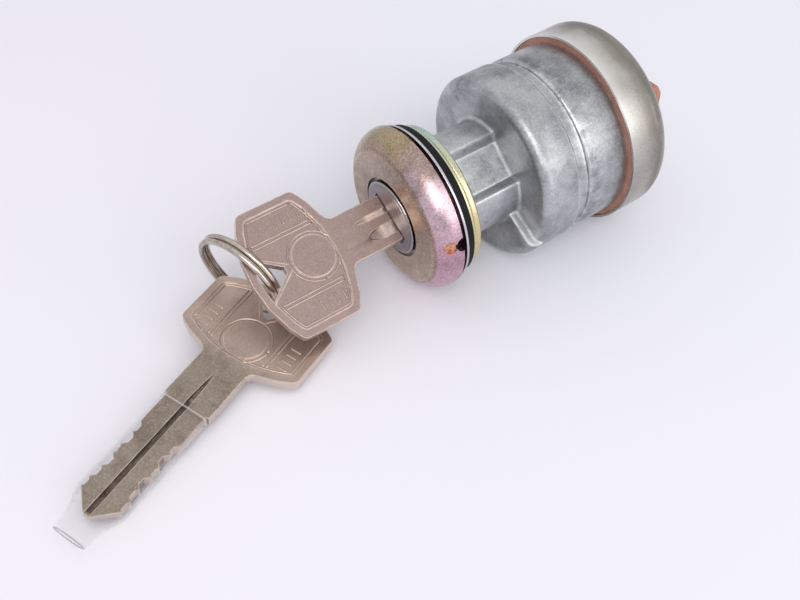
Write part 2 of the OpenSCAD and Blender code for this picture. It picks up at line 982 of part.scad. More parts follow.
module rear_cap() {
    color("tan")
        difference() {
            lathe()
                difference() {
                    bar_section(cap_r, cap_lip, cap_end, 0, cap_round);
                    bar_section(cap_r - cap_wall, cap_lip - over, cap_floor, 0, cap_round - cap_wall);
                }
            shroud_prism(shroud_gap, cap_floor - over, cap_end + over);
            at_screws()
                rod(screw_r + screw_hole_gap, cap_floor - over, cap_end + over);
        }
}

module base_screws() {
    color("silver")
        at_screws()
            difference() {
                union() {
                    rod(screw_r, screw_floor + screw_tip_gap, cap_end + tiny);
                    lathe()
                        bar_section(screw_head_r, cap_end, cap_end + screw_head_t, 0, screw_slot);
                }
                translate([-screw_head_r - over, cap_end + screw_slot, -screw_slot / 2])
                    cube([2 * (screw_head_r + over), screw_head_t, screw_slot]);
            }
}

// Barrel outline of the bow, drawn in at its edge by a margin
module bow_outline(margin) {
    offset(r = bow_corner, $fn = 32)
        offset(delta = -bow_corner - margin)
            intersection() {
                translate([-bow_w / 2, -bow_end])
                    square([bow_w, bow_len]);
                translate([0, -bow_start - bow_arc])
                    circle(r = bow_arc);
                translate([0, -bow_end + bow_arc])
                    circle(r = bow_arc);
            }
}

// Three-cornered hole whose base follows the bow's end, grown by a margin
module bow_hole(margin) {
    apex = -bow_end + end_strip + hole_len;
    intersection() {
        polygon([
            [-hole_half * hole_spread - margin, apex - hole_len * hole_spread - margin],
            [hole_half * hole_spread + margin, apex - hole_len * hole_spread - margin],
            [hole_tip, apex + margin], [-hole_tip, apex + margin]
        ]);
        translate([0, -bow_end + bow_arc])
            circle(r = bow_arc - end_strip + margin);
        translate([-hole_half - margin, -bow_end])
            square([2 * (hole_half + margin), bow_len]);
    }
}

// Blade with its point and the cuts along both edges
module blade_outline() {
    half = blade_w / 2;
    difference() {
        polygon([
            [-half, -bow_start], [half, -bow_start], [half, blade_len - tip_len],
            [tip_half, blade_len], [-tip_half, blade_len], [-half, blade_len - tip_len]
        ]);
        for (i = [0 : len(cut_depths) - 1], side = [-1, 1])
            translate([side * half, wafer_start + i * wafer_spacing])
                scale([side, 1])
                    cut_outline(cut_depths[i]);
    }
}

// One cut in the blade's +X edge: a flat with sloping sides
module cut_outline(depth) {
    reach = cut_flat / 2 + depth;
    polygon([
        [tiny, -reach - tiny], [tiny, reach + tiny],
        [-depth, cut_flat / 2], [-depth, -cut_flat / 2]
    ]);
}

// Fillets that run smoothly from the shank into the bow's curved end
module neck_outline() {
    arc_y = -bow_start - bow_arc;
    round_x = shank_w / 2 + neck_round;
    round_y = arc_y + sqrt(pow(bow_arc + neck_round, 2) - pow(round_x, 2));
    foot_y = -bow_start - neck_depth;
    foot_x = round_x * (foot_y - arc_y) / (round_y - arc_y);
    for (side = [-1, 1])
        scale([side, 1])
            difference() {
                polygon([[0, foot_y], [foot_x, foot_y], [round_x, round_y], [0, round_y]]);
                translate([round_x, round_y])
                    circle(r = neck_round);
            }
}

// Key lying in XY with its shoulder on the X axis and its blade along +Y
module key_form() {
    difference() {
        translate([0, 0, -key_t / 2])
            linear_extrude(key_t)
                difference() {
                    union() {
                        bow_outline(0);
                        translate([-shank_w / 2, -bow_start - over])
                            square([shank_w, bow_start + over]);
                        neck_outline();
                        blade_outline();
                    }
                    bow_hole(0);
                }
        rotate([90, 0, 0])
            translate([0, 0, -blade_len - over])
                linear_extrude(blade_len + groove_run + over)
                    groove_section(0);
        groove_ends();
        for (side = [-1, 1])
            scale([1, 1, side])
                bow_panel();
    }
}

// Shallow panel pressed into one face of the bow, with a plain oval left standing
module bow_panel() {
    translate([0, 0, key_t / 2 - panel_depth])
        linear_extrude(panel_depth + over)
            difference() {
                bow_outline(panel_border);
                bow_hole(panel_border * hole_rim);
                translate([0, -bow_start - bow_len * boss_place])
                    circle(r = bow_len * boss_size);
            }
}

module key() {
    color("rosybrown")
        translate([0, plug_face, 0])
            around(key_roll)
                key_form();
}

// Stands children where the spare key hangs, with its shoulder at the origin
module at_spare() {
    translate([0, hole_y, 0] + spare_offset)
        rotate(spare_turn)
            translate([0, hole_mid, 0])
                children();
}

module spare_key() {
    color("gray")
        at_spare()
            key_form();
}

// Split ring: nearly two turns of wire that cross over once
module key_ring() {
    steps = 40;
    rise = 2 * ring_wire + ring_gap;
    first = 180 * (2 - ring_turns);
    span = 360 * ring_turns;
    count = ceil(ring_turns * steps);
    path = [
        for (k = [0 : count])
            let (
                a = first + span * k / count,
                t = min(1, max(0, (a - 360) / ring_cross + 0.5)),
                lift = rise * (t * t * (3 - 2 * t) - 0.5)
            )
            [ring_r * cos(a), ring_r * sin(a), lift]
    ];
    color("silver")
        translate([0, hole_y, 0] + ring_offset)
            rotate([0, ring_tilt, ring_turn])
                wire(path, ring_wire, 8);
}

// Point of a rounded section at angle a, grown by a wall
function tube_point(s, a, grow) = [
    (s[1] + grow) * sign(cos(a)) * pow(abs(cos(a)), 2 / s[3]),
    s[0],
    (s[2] + grow) * sign(sin(a)) * pow(abs(sin(a)), 2 / s[3])
];

// Soft tube pushed over the spare key's blade, round again past its tip
module key_sleeve() {
    sides = 32;
    rows = len(tube_stations);
    shell = [
        for (grow = [tube_wall, 0], s = tube_stations, k = [0 : sides - 1])
            tube_point(s, 360 * k / sides, grow)
    ];
    inner = rows * sides;
    walls = [
        for (j = [0 : rows - 2], k = [0 : sides - 1])
            let (a = j * sides, b = a + sides, n = (k + 1) % sides)
            each [
                [a + k, b + k, b + n], [a + k, b + n, a + n],
                [inner + a + k, inner + b + n, inner + b + k], [inner + a + k, inner + a + n, inner + b + n]
            ]
    ];
    last = (rows - 1) * sides;
    ends = [
        for (k = [0 : sides - 1])
            let (n = (k + 1) % sides)
            each [
                [k, n, inner + n], [k, inner + n, inner + k],
                [last + k, inner + last + n, last + n], [last + k, inner + last + k, inner + last + n]
            ]
    ];
    color("lightcyan", 0.4)
        at_spare()
            polyhedron(shell, concat(walls, ends));
}

body();
bezel_nut();
bezel_washer();
panel_gasket();
back_washer();
back_nut();
plug_ferrule();
lock_plug();
wafer_tumblers();
wafer_springs();
plug_clip();
rotor();
return_spring();
detent_ball();
detent_spring();
moving_contact();
contact_springs();
terminal_base();
terminal_battery();
terminal_accessory();
terminal_ignition();
terminal_start();
terminal_resistor();
rear_cap();
base_screws();
key();
key_ring();
spare_key();
key_sleeve();
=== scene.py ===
"""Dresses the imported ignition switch: finishes, ring, sleeve, relief, groove ends and a pale stage."""

import math

import bmesh
import bpy
from bpy.props import FloatProperty, IntProperty, PointerProperty
from bpy.types import Operator, Panel, PropertyGroup
from mathutils import Matrix, Vector


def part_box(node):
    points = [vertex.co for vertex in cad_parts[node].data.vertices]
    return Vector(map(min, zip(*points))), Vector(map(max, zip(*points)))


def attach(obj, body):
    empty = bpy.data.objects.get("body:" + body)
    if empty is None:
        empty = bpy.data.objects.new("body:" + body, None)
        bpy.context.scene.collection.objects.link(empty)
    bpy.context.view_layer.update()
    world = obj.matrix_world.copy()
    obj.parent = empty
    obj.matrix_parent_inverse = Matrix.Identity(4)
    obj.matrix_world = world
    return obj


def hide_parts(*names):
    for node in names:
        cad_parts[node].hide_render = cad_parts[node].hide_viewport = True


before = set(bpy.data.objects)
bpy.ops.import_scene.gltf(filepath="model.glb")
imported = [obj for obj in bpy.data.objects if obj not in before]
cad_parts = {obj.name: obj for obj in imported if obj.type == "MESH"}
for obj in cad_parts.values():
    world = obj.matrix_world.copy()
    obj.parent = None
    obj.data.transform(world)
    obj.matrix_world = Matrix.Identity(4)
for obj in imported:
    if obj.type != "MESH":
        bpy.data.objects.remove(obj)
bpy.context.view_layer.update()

bl_info = {
    "name": "Ignition Switch Dresser",
    "version": (1, 0, 0),
    "blender": (4, 5, 0),
    "location": "View3D > Sidebar > Switch",
    "description": "Finishes, ring, sleeve, relief, groove ends and stage for an ignition switch",
    "category": "Object",
}

MM = 0.001

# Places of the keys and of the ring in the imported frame, in millimetres and degrees.
KEY_SHOULDER = Vector((0.0, -9.0, 0.0))
KEY_ROLL = 30.5
HOLE_FROM_SHOULDER = 26.9
SPARE_OFFSET = Vector((-1.5, 0.3, -10.2))
SPARE_TURN = (178.6, 10.8, 24.6)
RING_OFFSET = Vector((-7.7, -2.7, -3.3))
RING_TURN = (0.0, 83.6, 110.3)

# The key's bow in its own plane, in millimetres from the shoulder. The hole's slope and the share of
# its border at the tip are ratios.
BOW_START = 11.2
BOW_END = 30.5
BOW_WIDTH = 26.8
BOW_ARC = 26.7
BOW_HOLE_APEX = -23.5
BOW_HOLE_HALF = 4.7
BOW_HOLE_SLOPE = 0.78
HOLE_TIP_HALF = 0.6
HOLE_TIP_SHARE = 0.6
KEY_HALF = 1.1
PANEL_DEPTH = 0.25

# The lines raised on a bow, in millimetres, with the ring's middle as a share of the bow's length.
HOLE_BORDER = 1.5
RELIEF_MIDDLE = 0.32
RELIEF_RING = 5.0
PANEL_EDGE = 6.0
BAR_SPAN = (7.8, 10.4)
BAR_FIRST = 3.0
BAR_PITCH = 1.6
BARS = 5

# Points along those lines and round their beads, and the fewest that make a line.
BOW_STEPS = 120
SIDE_STEPS = 24
CIRCLE_STEPS = 72
PANEL_STEPS = 40
BAR_STEPS = 12
BEAD_SIDES = 8
SHORTEST_RUN = 4

# The key's milled grooves in its own plane, in millimetres, with the tip on the plus side.
GROOVE_START = -9.4
GROOVE_END = 24.4
GROOVE_CUT = 0.65
GROOVE_CLOSE = 10.8
GROOVE_REACH = 3.28
GROOVE_TIP_REACH = 0.7

# Distances in millimetres over which a groove's colour comes in or stops: down its wall, before the tip,
# at both ends and at its sides. The last pair is where the painted light on a bow comes in.
GROOVE_SHADE = (0.08, 0.25)
GROOVE_TIP_FADE = (3.0, 2.0)
GROOVE_START_FADE = 0.3
GROOVE_END_FADE = 0.2
GROOVE_SIDE_FADE = 0.05
BOW_LIGHT_FADE = (1.0, 4.0)

# Each groove's middle and width, its face, and how far past the shoulder it is deep and then ends.
GROOVE_ENDS = (
    (-1.7, 1.1, 1, 4.2, 7.2),
    (2.0, 2.5, 1, 2.6, 6.2),
    (0.0, 1.1, -1, 1.0, 9.4),
)

# How a groove runs out: the least share of its depth, how suddenly it rises, the width from which its
# sides close bluntly and by what power, its floor's share of its width, and its crease in degrees.
RUN_OUT_LEAST = 0.01
RUN_OUT_RISE = 1.5
BLUNT_WIDTH = 2.0
BLUNT_POWER = 0.5
FLOOR_SHARES = (0.95, 0.5)
RUN_OUT_CREASE = 25

# Marks on the housing, in millimetres: the bezel's flat face, its spanner dimple and that spot's edge, the
# rub marks behind the parting groove, and on the cap a band of painted shade before its rounded rear edge
# and a painted highlight at the top of its lip.
BEZEL_FACE = -8.1
DIMPLE_PLACE = Vector((15.92, -5.66, 2.52))
DIMPLE_EDGE = (1.45, 1.15)
RUB_MIDDLE = 27.4
RUB_HALF = 2.9
RUB_CORE = 0.6
CAP_SHADE_BACK = 3.4
CAP_SHADE_HALF = 2.4
CAP_HIGHLIGHT_REACH = 5.0
CAP_HIGHLIGHT_HEIGHT = 14.0

# How much of a mark's colour shows at its strongest: the rub marks, the cap's painted shade and painted
# highlight, the painted highlight on a key's side walls and the painted light on a bow; and the cosines
# that tell a key's side walls. The painted shade along the rim of the bezel's face has a factor instead.
RUB_AMOUNT = 0.6
CAP_SHADE_AMOUNT = 0.6
CAP_HIGHLIGHT_AMOUNT = 0.8
WALL_HIGHLIGHT_AMOUNT = 0.6
WALL_COSINES = (0.5, 0.2)
BOW_LIGHT_AMOUNT = 0.35
RIM_SHADE_AMOUNT = 1.8

# Edges painted bright, partly as wear on corners and partly as a painted highlight on rounded edges and
# fillets: the rays that look for them, and the cosines between which they come in.
EDGE_SAMPLES = 6
FLAT_COSINE = 0.99
EDGE_COSINE = 0.88

# Height of the fine bumps on a surface.
BUMP_HEIGHT = 0.05 * MM

# Sections of the clear sleeve: station along the key, half width, half height and squareness.
SLEEVE_SECTIONS = (
    (0.5, 4.52, 1.6, 6.0),
    (21.6, 4.52, 1.6, 6.0),
    (23.3, 4.22, 1.6, 4.0),
    (24.5, 3.7, 1.5, 3.0),
    (26.5, 3.2, 1.35, 2.4),
    (29.4, 3.0, 1.1, 2.0),
)

# The width of the sleeve's lips in millimetres, and how much the lips and the film hide. The lips carry
# painted light: shade at the free end and a highlight at the held end.
LIP_WIDTH = 0.3
LIP_COVER = 0.38
FILM_COVER = (0.012, 0.55)

# Points along the ring's wire and round it, and how far a drawn piece may miss its node's box.
RING_STEPS = 260
RING_SIDES = 20
RING_SLACK = 0.4 * MM
SLEEVE_SLACK = 0.3 * MM

# Softened edges: the gap that is welded, and the angles in degrees that join flats and that are sharp.
WELD_GAP = 0.001 * MM
FLAT_ANGLE = 0.6
SHARP_ANGLE = 35


def srgb(red, green, blue):
    """A colour seen on screen as the linear colour that the shaders take."""
    def channel(value):
        value /= 255
        return value / 12.92 if value <= 0.04045 else ((value + 0.055) / 1.055) ** 2.4
    return (channel(red), channel(green), channel(blue), 1.0)


def turned(degrees):
    """Rotation about X, then Y, then Z, as the solid model writes it."""
    x, y, z = (math.radians(angle) for angle in degrees)
    return Matrix.Rotation(z, 4, "Z") @ Matrix.Rotation(y, 4, "Y") @ Matrix.Rotation(x, 4, "X")


def key_matrix():
    """Places the inserted key's plane, in millimetres."""
    return Matrix.Translation(KEY_SHOULDER) @ turned((0, KEY_ROLL, 0))


def hole_place():
    """Middle of the inserted key's hole, in millimetres."""
    return KEY_SHOULDER - Vector((0, HOLE_FROM_SHOULDER, 0))


def spare_matrix():
    """Places the spare key's plane, in millimetres."""
    place = Matrix.Translation(hole_place() + SPARE_OFFSET) @ turned(SPARE_TURN)
    return place @ Matrix.Translation((0, HOLE_FROM_SHOULDER, 0))


def ring_matrix():
    """Places the split ring's plane, in millimetres."""
    return Matrix.Translation(hole_place() + RING_OFFSET) @ turned(RING_TURN)


# Shader node groups


def new_group(name, inputs, outputs):
    """An empty shader group with its sockets, and its input and output nodes."""
    group = bpy.data.node_groups.new(name, "ShaderNodeTree")
    for label, kind, value in inputs:
        socket = group.interface.new_socket(label, in_out="INPUT", socket_type=kind)
        socket.default_value = value
    for label, kind in outputs:
        group.interface.new_socket(label, in_out="OUTPUT", socket_type=kind)
    return group, group.nodes.new("NodeGroupInput"), group.nodes.new("NodeGroupOutput")


def add_node(tree, kind, inputs=(), **values):
    """A node with its settings, and with its inputs linked or set."""
    node = tree.nodes.new(kind)
    for key, value in values.items():
        setattr(node, key, value)
    for key, value in dict(inputs).items():
        if isinstance(value, bpy.types.NodeSocket):
            tree.links.new(value, node.inputs[key])
        else:
            node.inputs[key].default_value = value
    return node


def millimetres(tree, scale=(1, 1, 1), turn=(0, 0, 0)):
    """The surface's place on its piece in millimetres, stretched and turned."""
    place = add_node(tree, "ShaderNodeTexCoord")
    sizes = [value / MM for value in scale]
    mapping = add_node(tree, "ShaderNodeMapping", {
        "Vector": place.outputs["Object"],
        "Rotation": [math.radians(angle) for angle in turn],
        "Scale": sizes,
    })
    return mapping.outputs["Vector"]


def noise(tree, vector, scale, detail=4.0, roughness=0.55):
    """Value noise over a vector."""
    node = add_node(tree, "ShaderNodeTexNoise", {
        "Vector": vector, "Scale": scale, "Detail": detail, "Roughness": roughness,
    })
    return node.outputs["Fac"]


def remap(tree, value, low, high, to_low=0.0, to_high=1.0):
    """Stretches a value between two limits, and clamps it."""
    node = add_node(tree, "ShaderNodeMapRange", {
        "Value": value, "From Min": low, "From Max": high, "To Min": to_low, "To Max": to_high,
    })
    return node.outputs["Result"]


def maths(tree, operation, first, second):
    """The result of one operation on two values."""
    node = add_node(tree, "ShaderNodeMath", {0: first, 1: second}, operation=operation)
    return node.outputs["Value"]


def magnitude(tree, value):
    """A value without its sign."""
    return add_node(tree, "ShaderNodeMath", {0: value}, operation="ABSOLUTE").outputs["Value"]


def axes_of(tree, vector):
    """The three axes of a vector, by name."""
    return add_node(tree, "ShaderNodeSeparateXYZ", {"Vector": vector}).outputs


def cosine(tree, first, second):
    """The cosine between two directions."""
    node = add_node(tree, "ShaderNodeVectorMath", {0: first, 1: second}, operation="DOT_PRODUCT")
    return node.outputs["Value"]


def mix_colour(tree, factor, first, second):
    """Mixes two colours."""
    node = add_node(tree, "ShaderNodeMix", data_type="RGBA")
    sockets = {socket.identifier: socket for socket in node.inputs}
    for identifier, value in (
        ("Factor_Float", factor), ("A_Color", first), ("B_Color", second),
    ):
        if isinstance(value, bpy.types.NodeSocket):
            tree.links.new(value, sockets[identifier])
        else:
            sockets[identifier].default_value = value
    return next(socket for socket in node.outputs if socket.identifier == "Result_Color")


def edge_mask(tree, width):
    """1 where the surface turns sharply within a distance in millimetres, and 0 on flats."""
    radius = maths(tree, "MULTIPLY", width, MM)
    rounded = add_node(tree, "ShaderNodeBevel", {"Radius": radius}, samples=EDGE_SAMPLES)
    surface = add_node(tree, "ShaderNodeNewGeometry")
    along = cosine(tree, rounded.outputs["Normal"], surface.outputs["Normal"])
    return remap(tree, along, FLAT_COSINE, EDGE_COSINE)


def wear_group():
    """Metal worn by use: stains, smudges, fine specks, hairline scratches, and edges painted bright,
    partly as wear and partly as a painted highlight on rounded edges and fillets.
    """
    group, start, end = new_group(
        "Worn Metal",
        (
            ("Color", "NodeSocketColor", (0.5, 0.5, 0.5, 1)),
            ("Stain Color", "NodeSocketColor", (0.2, 0.2, 0.2, 1)),
            ("Bright Color", "NodeSocketColor", (0.8, 0.8, 0.8, 1)),
            ("Stain Size", "NodeSocketFloat", 6.0),
            ("Stain Amount", "NodeSocketFloat", 0.6),
            ("Scratch Amount", "NodeSocketFloat", 0.4),
            ("Speck Amount", "NodeSocketFloat", 0.3),
            ("Edge Amount", "NodeSocketFloat", 0.5),
            ("Edge Width", "NodeSocketFloat", 0.3),
            ("Roughness", "NodeSocketFloat", 0.4),
        ),
        (
            ("Color", "NodeSocketColor"),
            ("Roughness", "NodeSocketFloat"),
            ("Height", "NodeSocketFloat"),
        ),
    )
    plain = millimetres(group)
    scale = maths(group, "DIVIDE", 1.0, start.outputs["Stain Size"])
    clouds = remap(group, noise(group, plain, scale, 6.0, 0.62), 0.42, 0.68)
    patches = noise(group, millimetres(group, (1.1, 0.8, 1.1), (30, 15, 60)), scale, 9.0, 0.72)
    smudges = remap(group, patches, 0.55, 0.66)
    dirt = maths(group, "MAXIMUM", clouds, smudges)
    stain = maths(group, "MULTIPLY", dirt, start.outputs["Stain Amount"])
    grain = noise(group, plain, 2.6, 3.0)
    hair_one = noise(group, millimetres(group, (0.12, 5.0, 5.0), (20, 35, 40)), 1.0, 2.0)
    hair_two = noise(group, millimetres(group, (4.0, 0.16, 4.0), (-15, 10, 25)), 1.0, 2.0)
    lines = maths(
        group, "MAXIMUM",
        remap(group, hair_one, 0.66, 0.74), remap(group, hair_two, 0.68, 0.76),
    )
    scratch = maths(group, "MULTIPLY", lines, start.outputs["Scratch Amount"])
    pale_specks = maths(group, "MULTIPLY", remap(group, grain, 0.5, 0.72), start.outputs["Speck Amount"])
    dark_specks = maths(group, "MULTIPLY", remap(group, grain, 0.5, 0.28), start.outputs["Speck Amount"])
    stained = mix_colour(group, stain, start.outputs["Color"], start.outputs["Stain Color"])
    darkened = mix_colour(group, dark_specks, stained, start.outputs["Stain Color"])
    grained = mix_colour(group, pale_specks, darkened, start.outputs["Bright Color"])
    scratched = mix_colour(group, scratch, grained, start.outputs["Bright Color"])
    uneven = remap(group, noise(group, plain, 0.45, 4.0), 0.36, 0.6, 0.45, 1.0)
    # Edges painted bright: wear on corners, and a painted highlight where the mask also finds fillets and
    # rounded edges.
    edges = maths(group, "MULTIPLY", edge_mask(group, start.outputs["Edge Width"]), uneven)
    brightened = maths(group, "MULTIPLY", edges, start.outputs["Edge Amount"])
    colour = mix_colour(group, brightened, scratched, start.outputs["Bright Color"])
    rough = maths(group, "ADD", start.outputs["Roughness"], remap(group, clouds, 0, 1, -0.05, 0.1))
    rough = maths(group, "ADD", rough, remap(group, grain, 0.3, 0.7, -0.05, 0.05))
    height = maths(group, "SUBTRACT", grain, scratch)
    group.links.new(colour, end.inputs["Color"])
    group.links.new(rough, end.inputs["Roughness"])
    group.links.new(height, end.inputs["Height"])
    return group


def plating_group():
    """Chromate plating whose tint drifts across the piece, as thin films do, with painted shade along the
    rim of a flat face.
    """
    group, start, end = new_group(
        "Chromate Film",
        (
            ("First Color", "NodeSocketColor", (0.5, 0.45, 0.25, 1)),
            ("Middle Color", "NodeSocketColor", (0.6, 0.4, 0.4, 1)),
            ("Last Color", "NodeSocketColor", (0.55, 0.4, 0.55, 1)),
            ("Face Color", "NodeSocketColor", (0.3, 0.26, 0.19, 1)),
            ("Face Level", "NodeSocketFloat", -100.0),
            ("Half Width", "NodeSocketFloat", 17.0),
            ("Drift", "NodeSocketFloat", 0.35),
            ("Cloud Amount", "NodeSocketFloat", 0.0),
            ("Speck Amount", "NodeSocketFloat", 0.2),
        ),
        (
            ("Color", "NodeSocketColor"),
            ("Roughness", "NodeSocketFloat"),
            ("Height", "NodeSocketFloat"),
        ),
    )
    plain = millimetres(group)
    axes = axes_of(group, plain)
    slant = maths(group, "SUBTRACT", axes["X"], axes["Z"])
    across = maths(group, "DIVIDE", slant, start.outputs["Half Width"])
    cloud = remap(group, noise(group, plain, 0.16, 6.0, 0.66), 0.3, 0.7, -1.0, 1.0)
    drift = maths(group, "MULTIPLY", cloud, start.outputs["Drift"])
    hue = maths(group, "ADD", across, drift)
    early = remap(group, hue, -1.1, -0.25)
    late = remap(group, hue, 0.25, 1.0)
    first = mix_colour(group, early, start.outputs["First Color"], start.outputs["Middle Color"])
    film = mix_colour(group, late, first, start.outputs["Last Color"])
    depth = maths(group, "SUBTRACT", start.outputs["Face Level"], axes["Y"])
    face = remap(group, depth, -0.2, 0.3)
    faced = mix_colour(group, face, film, start.outputs["Face Color"])
    # Painted shade: a dark line along the crease where the flat face meets the dome.
    rim = maths(group, "MULTIPLY", face, maths(group, "SUBTRACT", 1.0, face))
    faced = mix_colour(group, maths(group, "MULTIPLY", rim, RIM_SHADE_AMOUNT), faced, srgb(100, 80, 70))
    grain = noise(group, millimetres(group, (1.0, 0.6, 1.0)), 3.6, 3.0)
    specks = start.outputs["Speck Amount"]
    dark = maths(group, "MULTIPLY", remap(group, grain, 0.5, 0.3), specks)
    pale = maths(group, "MULTIPLY", remap(group, grain, 0.52, 0.72), specks)
    patches = noise(group, millimetres(group, (1, 1, 1), (25, 40, 10)), 0.13, 7.0, 0.7)
    dusk = remap(group, magnitude(group, maths(group, "ADD", hue, 0.5)), 0.45, 0.05)
    gloom = maths(group, "MAXIMUM", remap(group, patches, 0.48, 0.66), dusk)
    gloom = maths(group, "MULTIPLY", gloom, start.outputs["Cloud Amount"])
    clouded = mix_colour(group, gloom, faced, srgb(104, 82, 66))
    darkened = mix_colour(group, dark, clouded, srgb(70, 58, 52))
    colour = mix_colour(group, pale, darkened, srgb(232, 222, 214))
    rough = remap(group, noise(group, plain, 0.9, 4.0), 0.3, 0.7, 0.24, 0.38)
    group.links.new(colour, end.inputs["Color"])
    group.links.new(rough, end.inputs["Roughness"])
    group.links.new(grain, end.inputs["Height"])
    return group


def moulding_group():
    """Moulded plastic or rubber: faint mottling, with a fine skin."""
    group, start, end = new_group(
        "Moulded Skin",
        (
            ("Color", "NodeSocketColor", (0.3, 0.1, 0.08, 1)),
            ("Pale Color", "NodeSocketColor", (0.4, 0.2, 0.15, 1)),
            ("Roughness", "NodeSocketFloat", 0.5),
        ),
        (
            ("Color", "NodeSocketColor"),
            ("Roughness", "NodeSocketFloat"),
            ("Height", "NodeSocketFloat"),
        ),
    )
    plain = millimetres(group)
    mottle = remap(group, noise(group, plain, 0.35, 6.0, 0.65), 0.4, 0.65)
    skin = noise(group, plain, 3.5, 3.0)
    colour = mix_colour(group, mottle, start.outputs["Color"], start.outputs["Pale Color"])
    rough = maths(group, "ADD", start.outputs["Roughness"], remap(group, skin, 0.3, 0.7, -0.08, 0.08))
    group.links.new(colour, end.inputs["Color"])
    group.links.new(rough, end.inputs["Roughness"])
    group.links.new(skin, end.inputs["Height"])
    return group


def groove_group():
    """Masks the floors of a key's milled grooves, from places in the key's own plane."""
    group, start, end = new_group(
        "Milled Grooves",
        (("Place", "NodeSocketVector", (0, 0, 0)),),
        (("Mask", "NodeSocketFloat"), ("Bow", "NodeSocketFloat")),
    )
    axes = axes_of(group, start.outputs["Place"])
    shallow, deep = (KEY_HALF - depth for depth in GROOVE_SHADE)
    below = remap(group, magnitude(group, axes["Z"]), shallow, deep)
    wide, narrow = (GROOVE_END - distance for distance in GROOVE_TIP_FADE)
    reach = remap(group, axes["Y"], wide, narrow, GROOVE_REACH, GROOVE_TIP_REACH)
    beyond = maths(group, "SUBTRACT", magnitude(group, axes["X"]), reach)
    inside = remap(group, beyond, GROOVE_SIDE_FADE, 0.0)
    started = remap(group, axes["Y"], GROOVE_START - GROOVE_START_FADE, GROOVE_START)
    unfinished = remap(group, axes["Y"], GROOVE_END + GROOVE_END_FADE, GROOVE_END)
    milled = maths(group, "MULTIPLY", maths(group, "MULTIPLY", below, inside), started)
    milled = maths(group, "MULTIPLY", milled, unfinished)
    patchy = remap(group, noise(group, millimetres(group), 0.5, 4.0), 0.3, 0.6, 0.45, 1.0)
    # Where the painted light on a bow comes in.
    bow = remap(group, axes["Y"], BOW_LIGHT_FADE[0] - BOW_START, -BOW_LIGHT_FADE[1] - BOW_START)
    group.links.new(maths(group, "MULTIPLY", milled, patchy), end.inputs["Mask"])
    group.links.new(bow, end.inputs["Bow"])
    return group


def add_effect(tree, name, build, inputs=()):
    """The node of a shared group, which is built at its first use."""
    group = bpy.data.node_groups.get(name) or build()
    return add_node(tree, "ShaderNodeGroup", inputs, node_tree=group)


# Materials


def new_material(name):
    """A material with its shader, and nothing linked to it."""
    material = bpy.data.materials.new(name)
    material.use_nodes = True
    shader = material.node_tree.nodes["Principled BSDF"]
    return material, material.node_tree, shader


def link_effect(tree, shader, effect, bump=0.0):
    """Feeds a group's colour, roughness and height to the shader."""
    tree.links.new(effect.outputs["Color"], shader.inputs["Base Color"])
    tree.links.new(effect.outputs["Roughness"], shader.inputs["Roughness"])
    if bump:
        lift = add_node(tree, "ShaderNodeBump", {
            "Height": effect.outputs["Height"], "Strength": bump, "Distance": BUMP_HEIGHT,
        })
        tree.links.new(lift.outputs["Normal"], shader.inputs["Normal"])


def parts_of(material):
    """A material's nodes, its shader and its effect."""
    tree = material.node_tree
    effect = next(node for node in tree.nodes if node.type == "GROUP")
    return tree, tree.nodes["Principled BSDF"], effect


def worn_metal(
        name, colour, stain, bright, roughness, size=6.0, stains=0.6, scratches=0.4, specks=0.3, bump=0.5,
        edges=0.4, edge_width=0.25):
    """Metal that has been used, with edges painted bright, partly as wear and partly as a painted
    highlight.
    """
    material, tree, shader = new_material(name)
    effect = add_effect(tree, "Worn Metal", wear_group, {
        "Color": colour, "Stain Color": stain, "Bright Color": bright, "Stain Size": size,
        "Stain Amount": stains, "Scratch Amount": scratches, "Speck Amount": specks,
        "Edge Amount": edges, "Edge Width": edge_width, "Roughness": roughness,
    })
    shader.inputs["Metallic"].default_value = 1.0
    link_effect(tree, shader, effect, bump)
    return material


def plated_metal(name, first, middle, last, half_width, drift, specks, bump, more=()):
    """Metal under a coloured chromate film."""
    material, tree, shader = new_material(name)
    effect = add_effect(tree, "Chromate Film", plating_group, {
        "First Color": first, "Middle Color": middle, "Last Color": last, "Half Width": half_width,
        "Drift": drift, "Speck Amount": specks, **dict(more),
    })
    shader.inputs["Metallic"].default_value = 1.0
    link_effect(tree, shader, effect, bump)
    return material


def bezel_metal(name):
    """The bezel's chromate, tan on its flat face, with bare copper in the spanner dimple."""
    material = plated_metal(
        name, srgb(176, 154, 118), srgb(208, 180, 188), srgb(196, 154, 172),
        half_width=17.0, drift=0.5, specks=0.4, bump=0.8,
        more={"Face Color": srgb(190, 166, 144), "Face Level": BEZEL_FACE, "Cloud Amount": 0.5})
    tree, shader, effect = parts_of(material)
    shader.inputs["Coat Weight"].default_value = 0.5
    shader.inputs["Coat Roughness"].default_value = 0.28
    away = add_node(tree, "ShaderNodeVectorMath", {
        0: millimetres(tree), 1: DIMPLE_PLACE,
    }, operation="DISTANCE")
    ragged = noise(tree, millimetres(tree), 1.8, 3.0)
    reach = maths(tree, "ADD", away.outputs["Value"], remap(tree, ragged, 0.3, 0.7, -0.25, 0.25))
    spot = remap(tree, reach, *DIMPLE_EDGE)
    copper = mix_colour(tree, remap(tree, ragged, 0.4, 0.62), srgb(176, 116, 84), srgb(222, 170, 134))
    colour = mix_colour(tree, spot, effect.outputs["Color"], copper)
    tree.links.new(colour, shader.inputs["Base Color"])
    return material


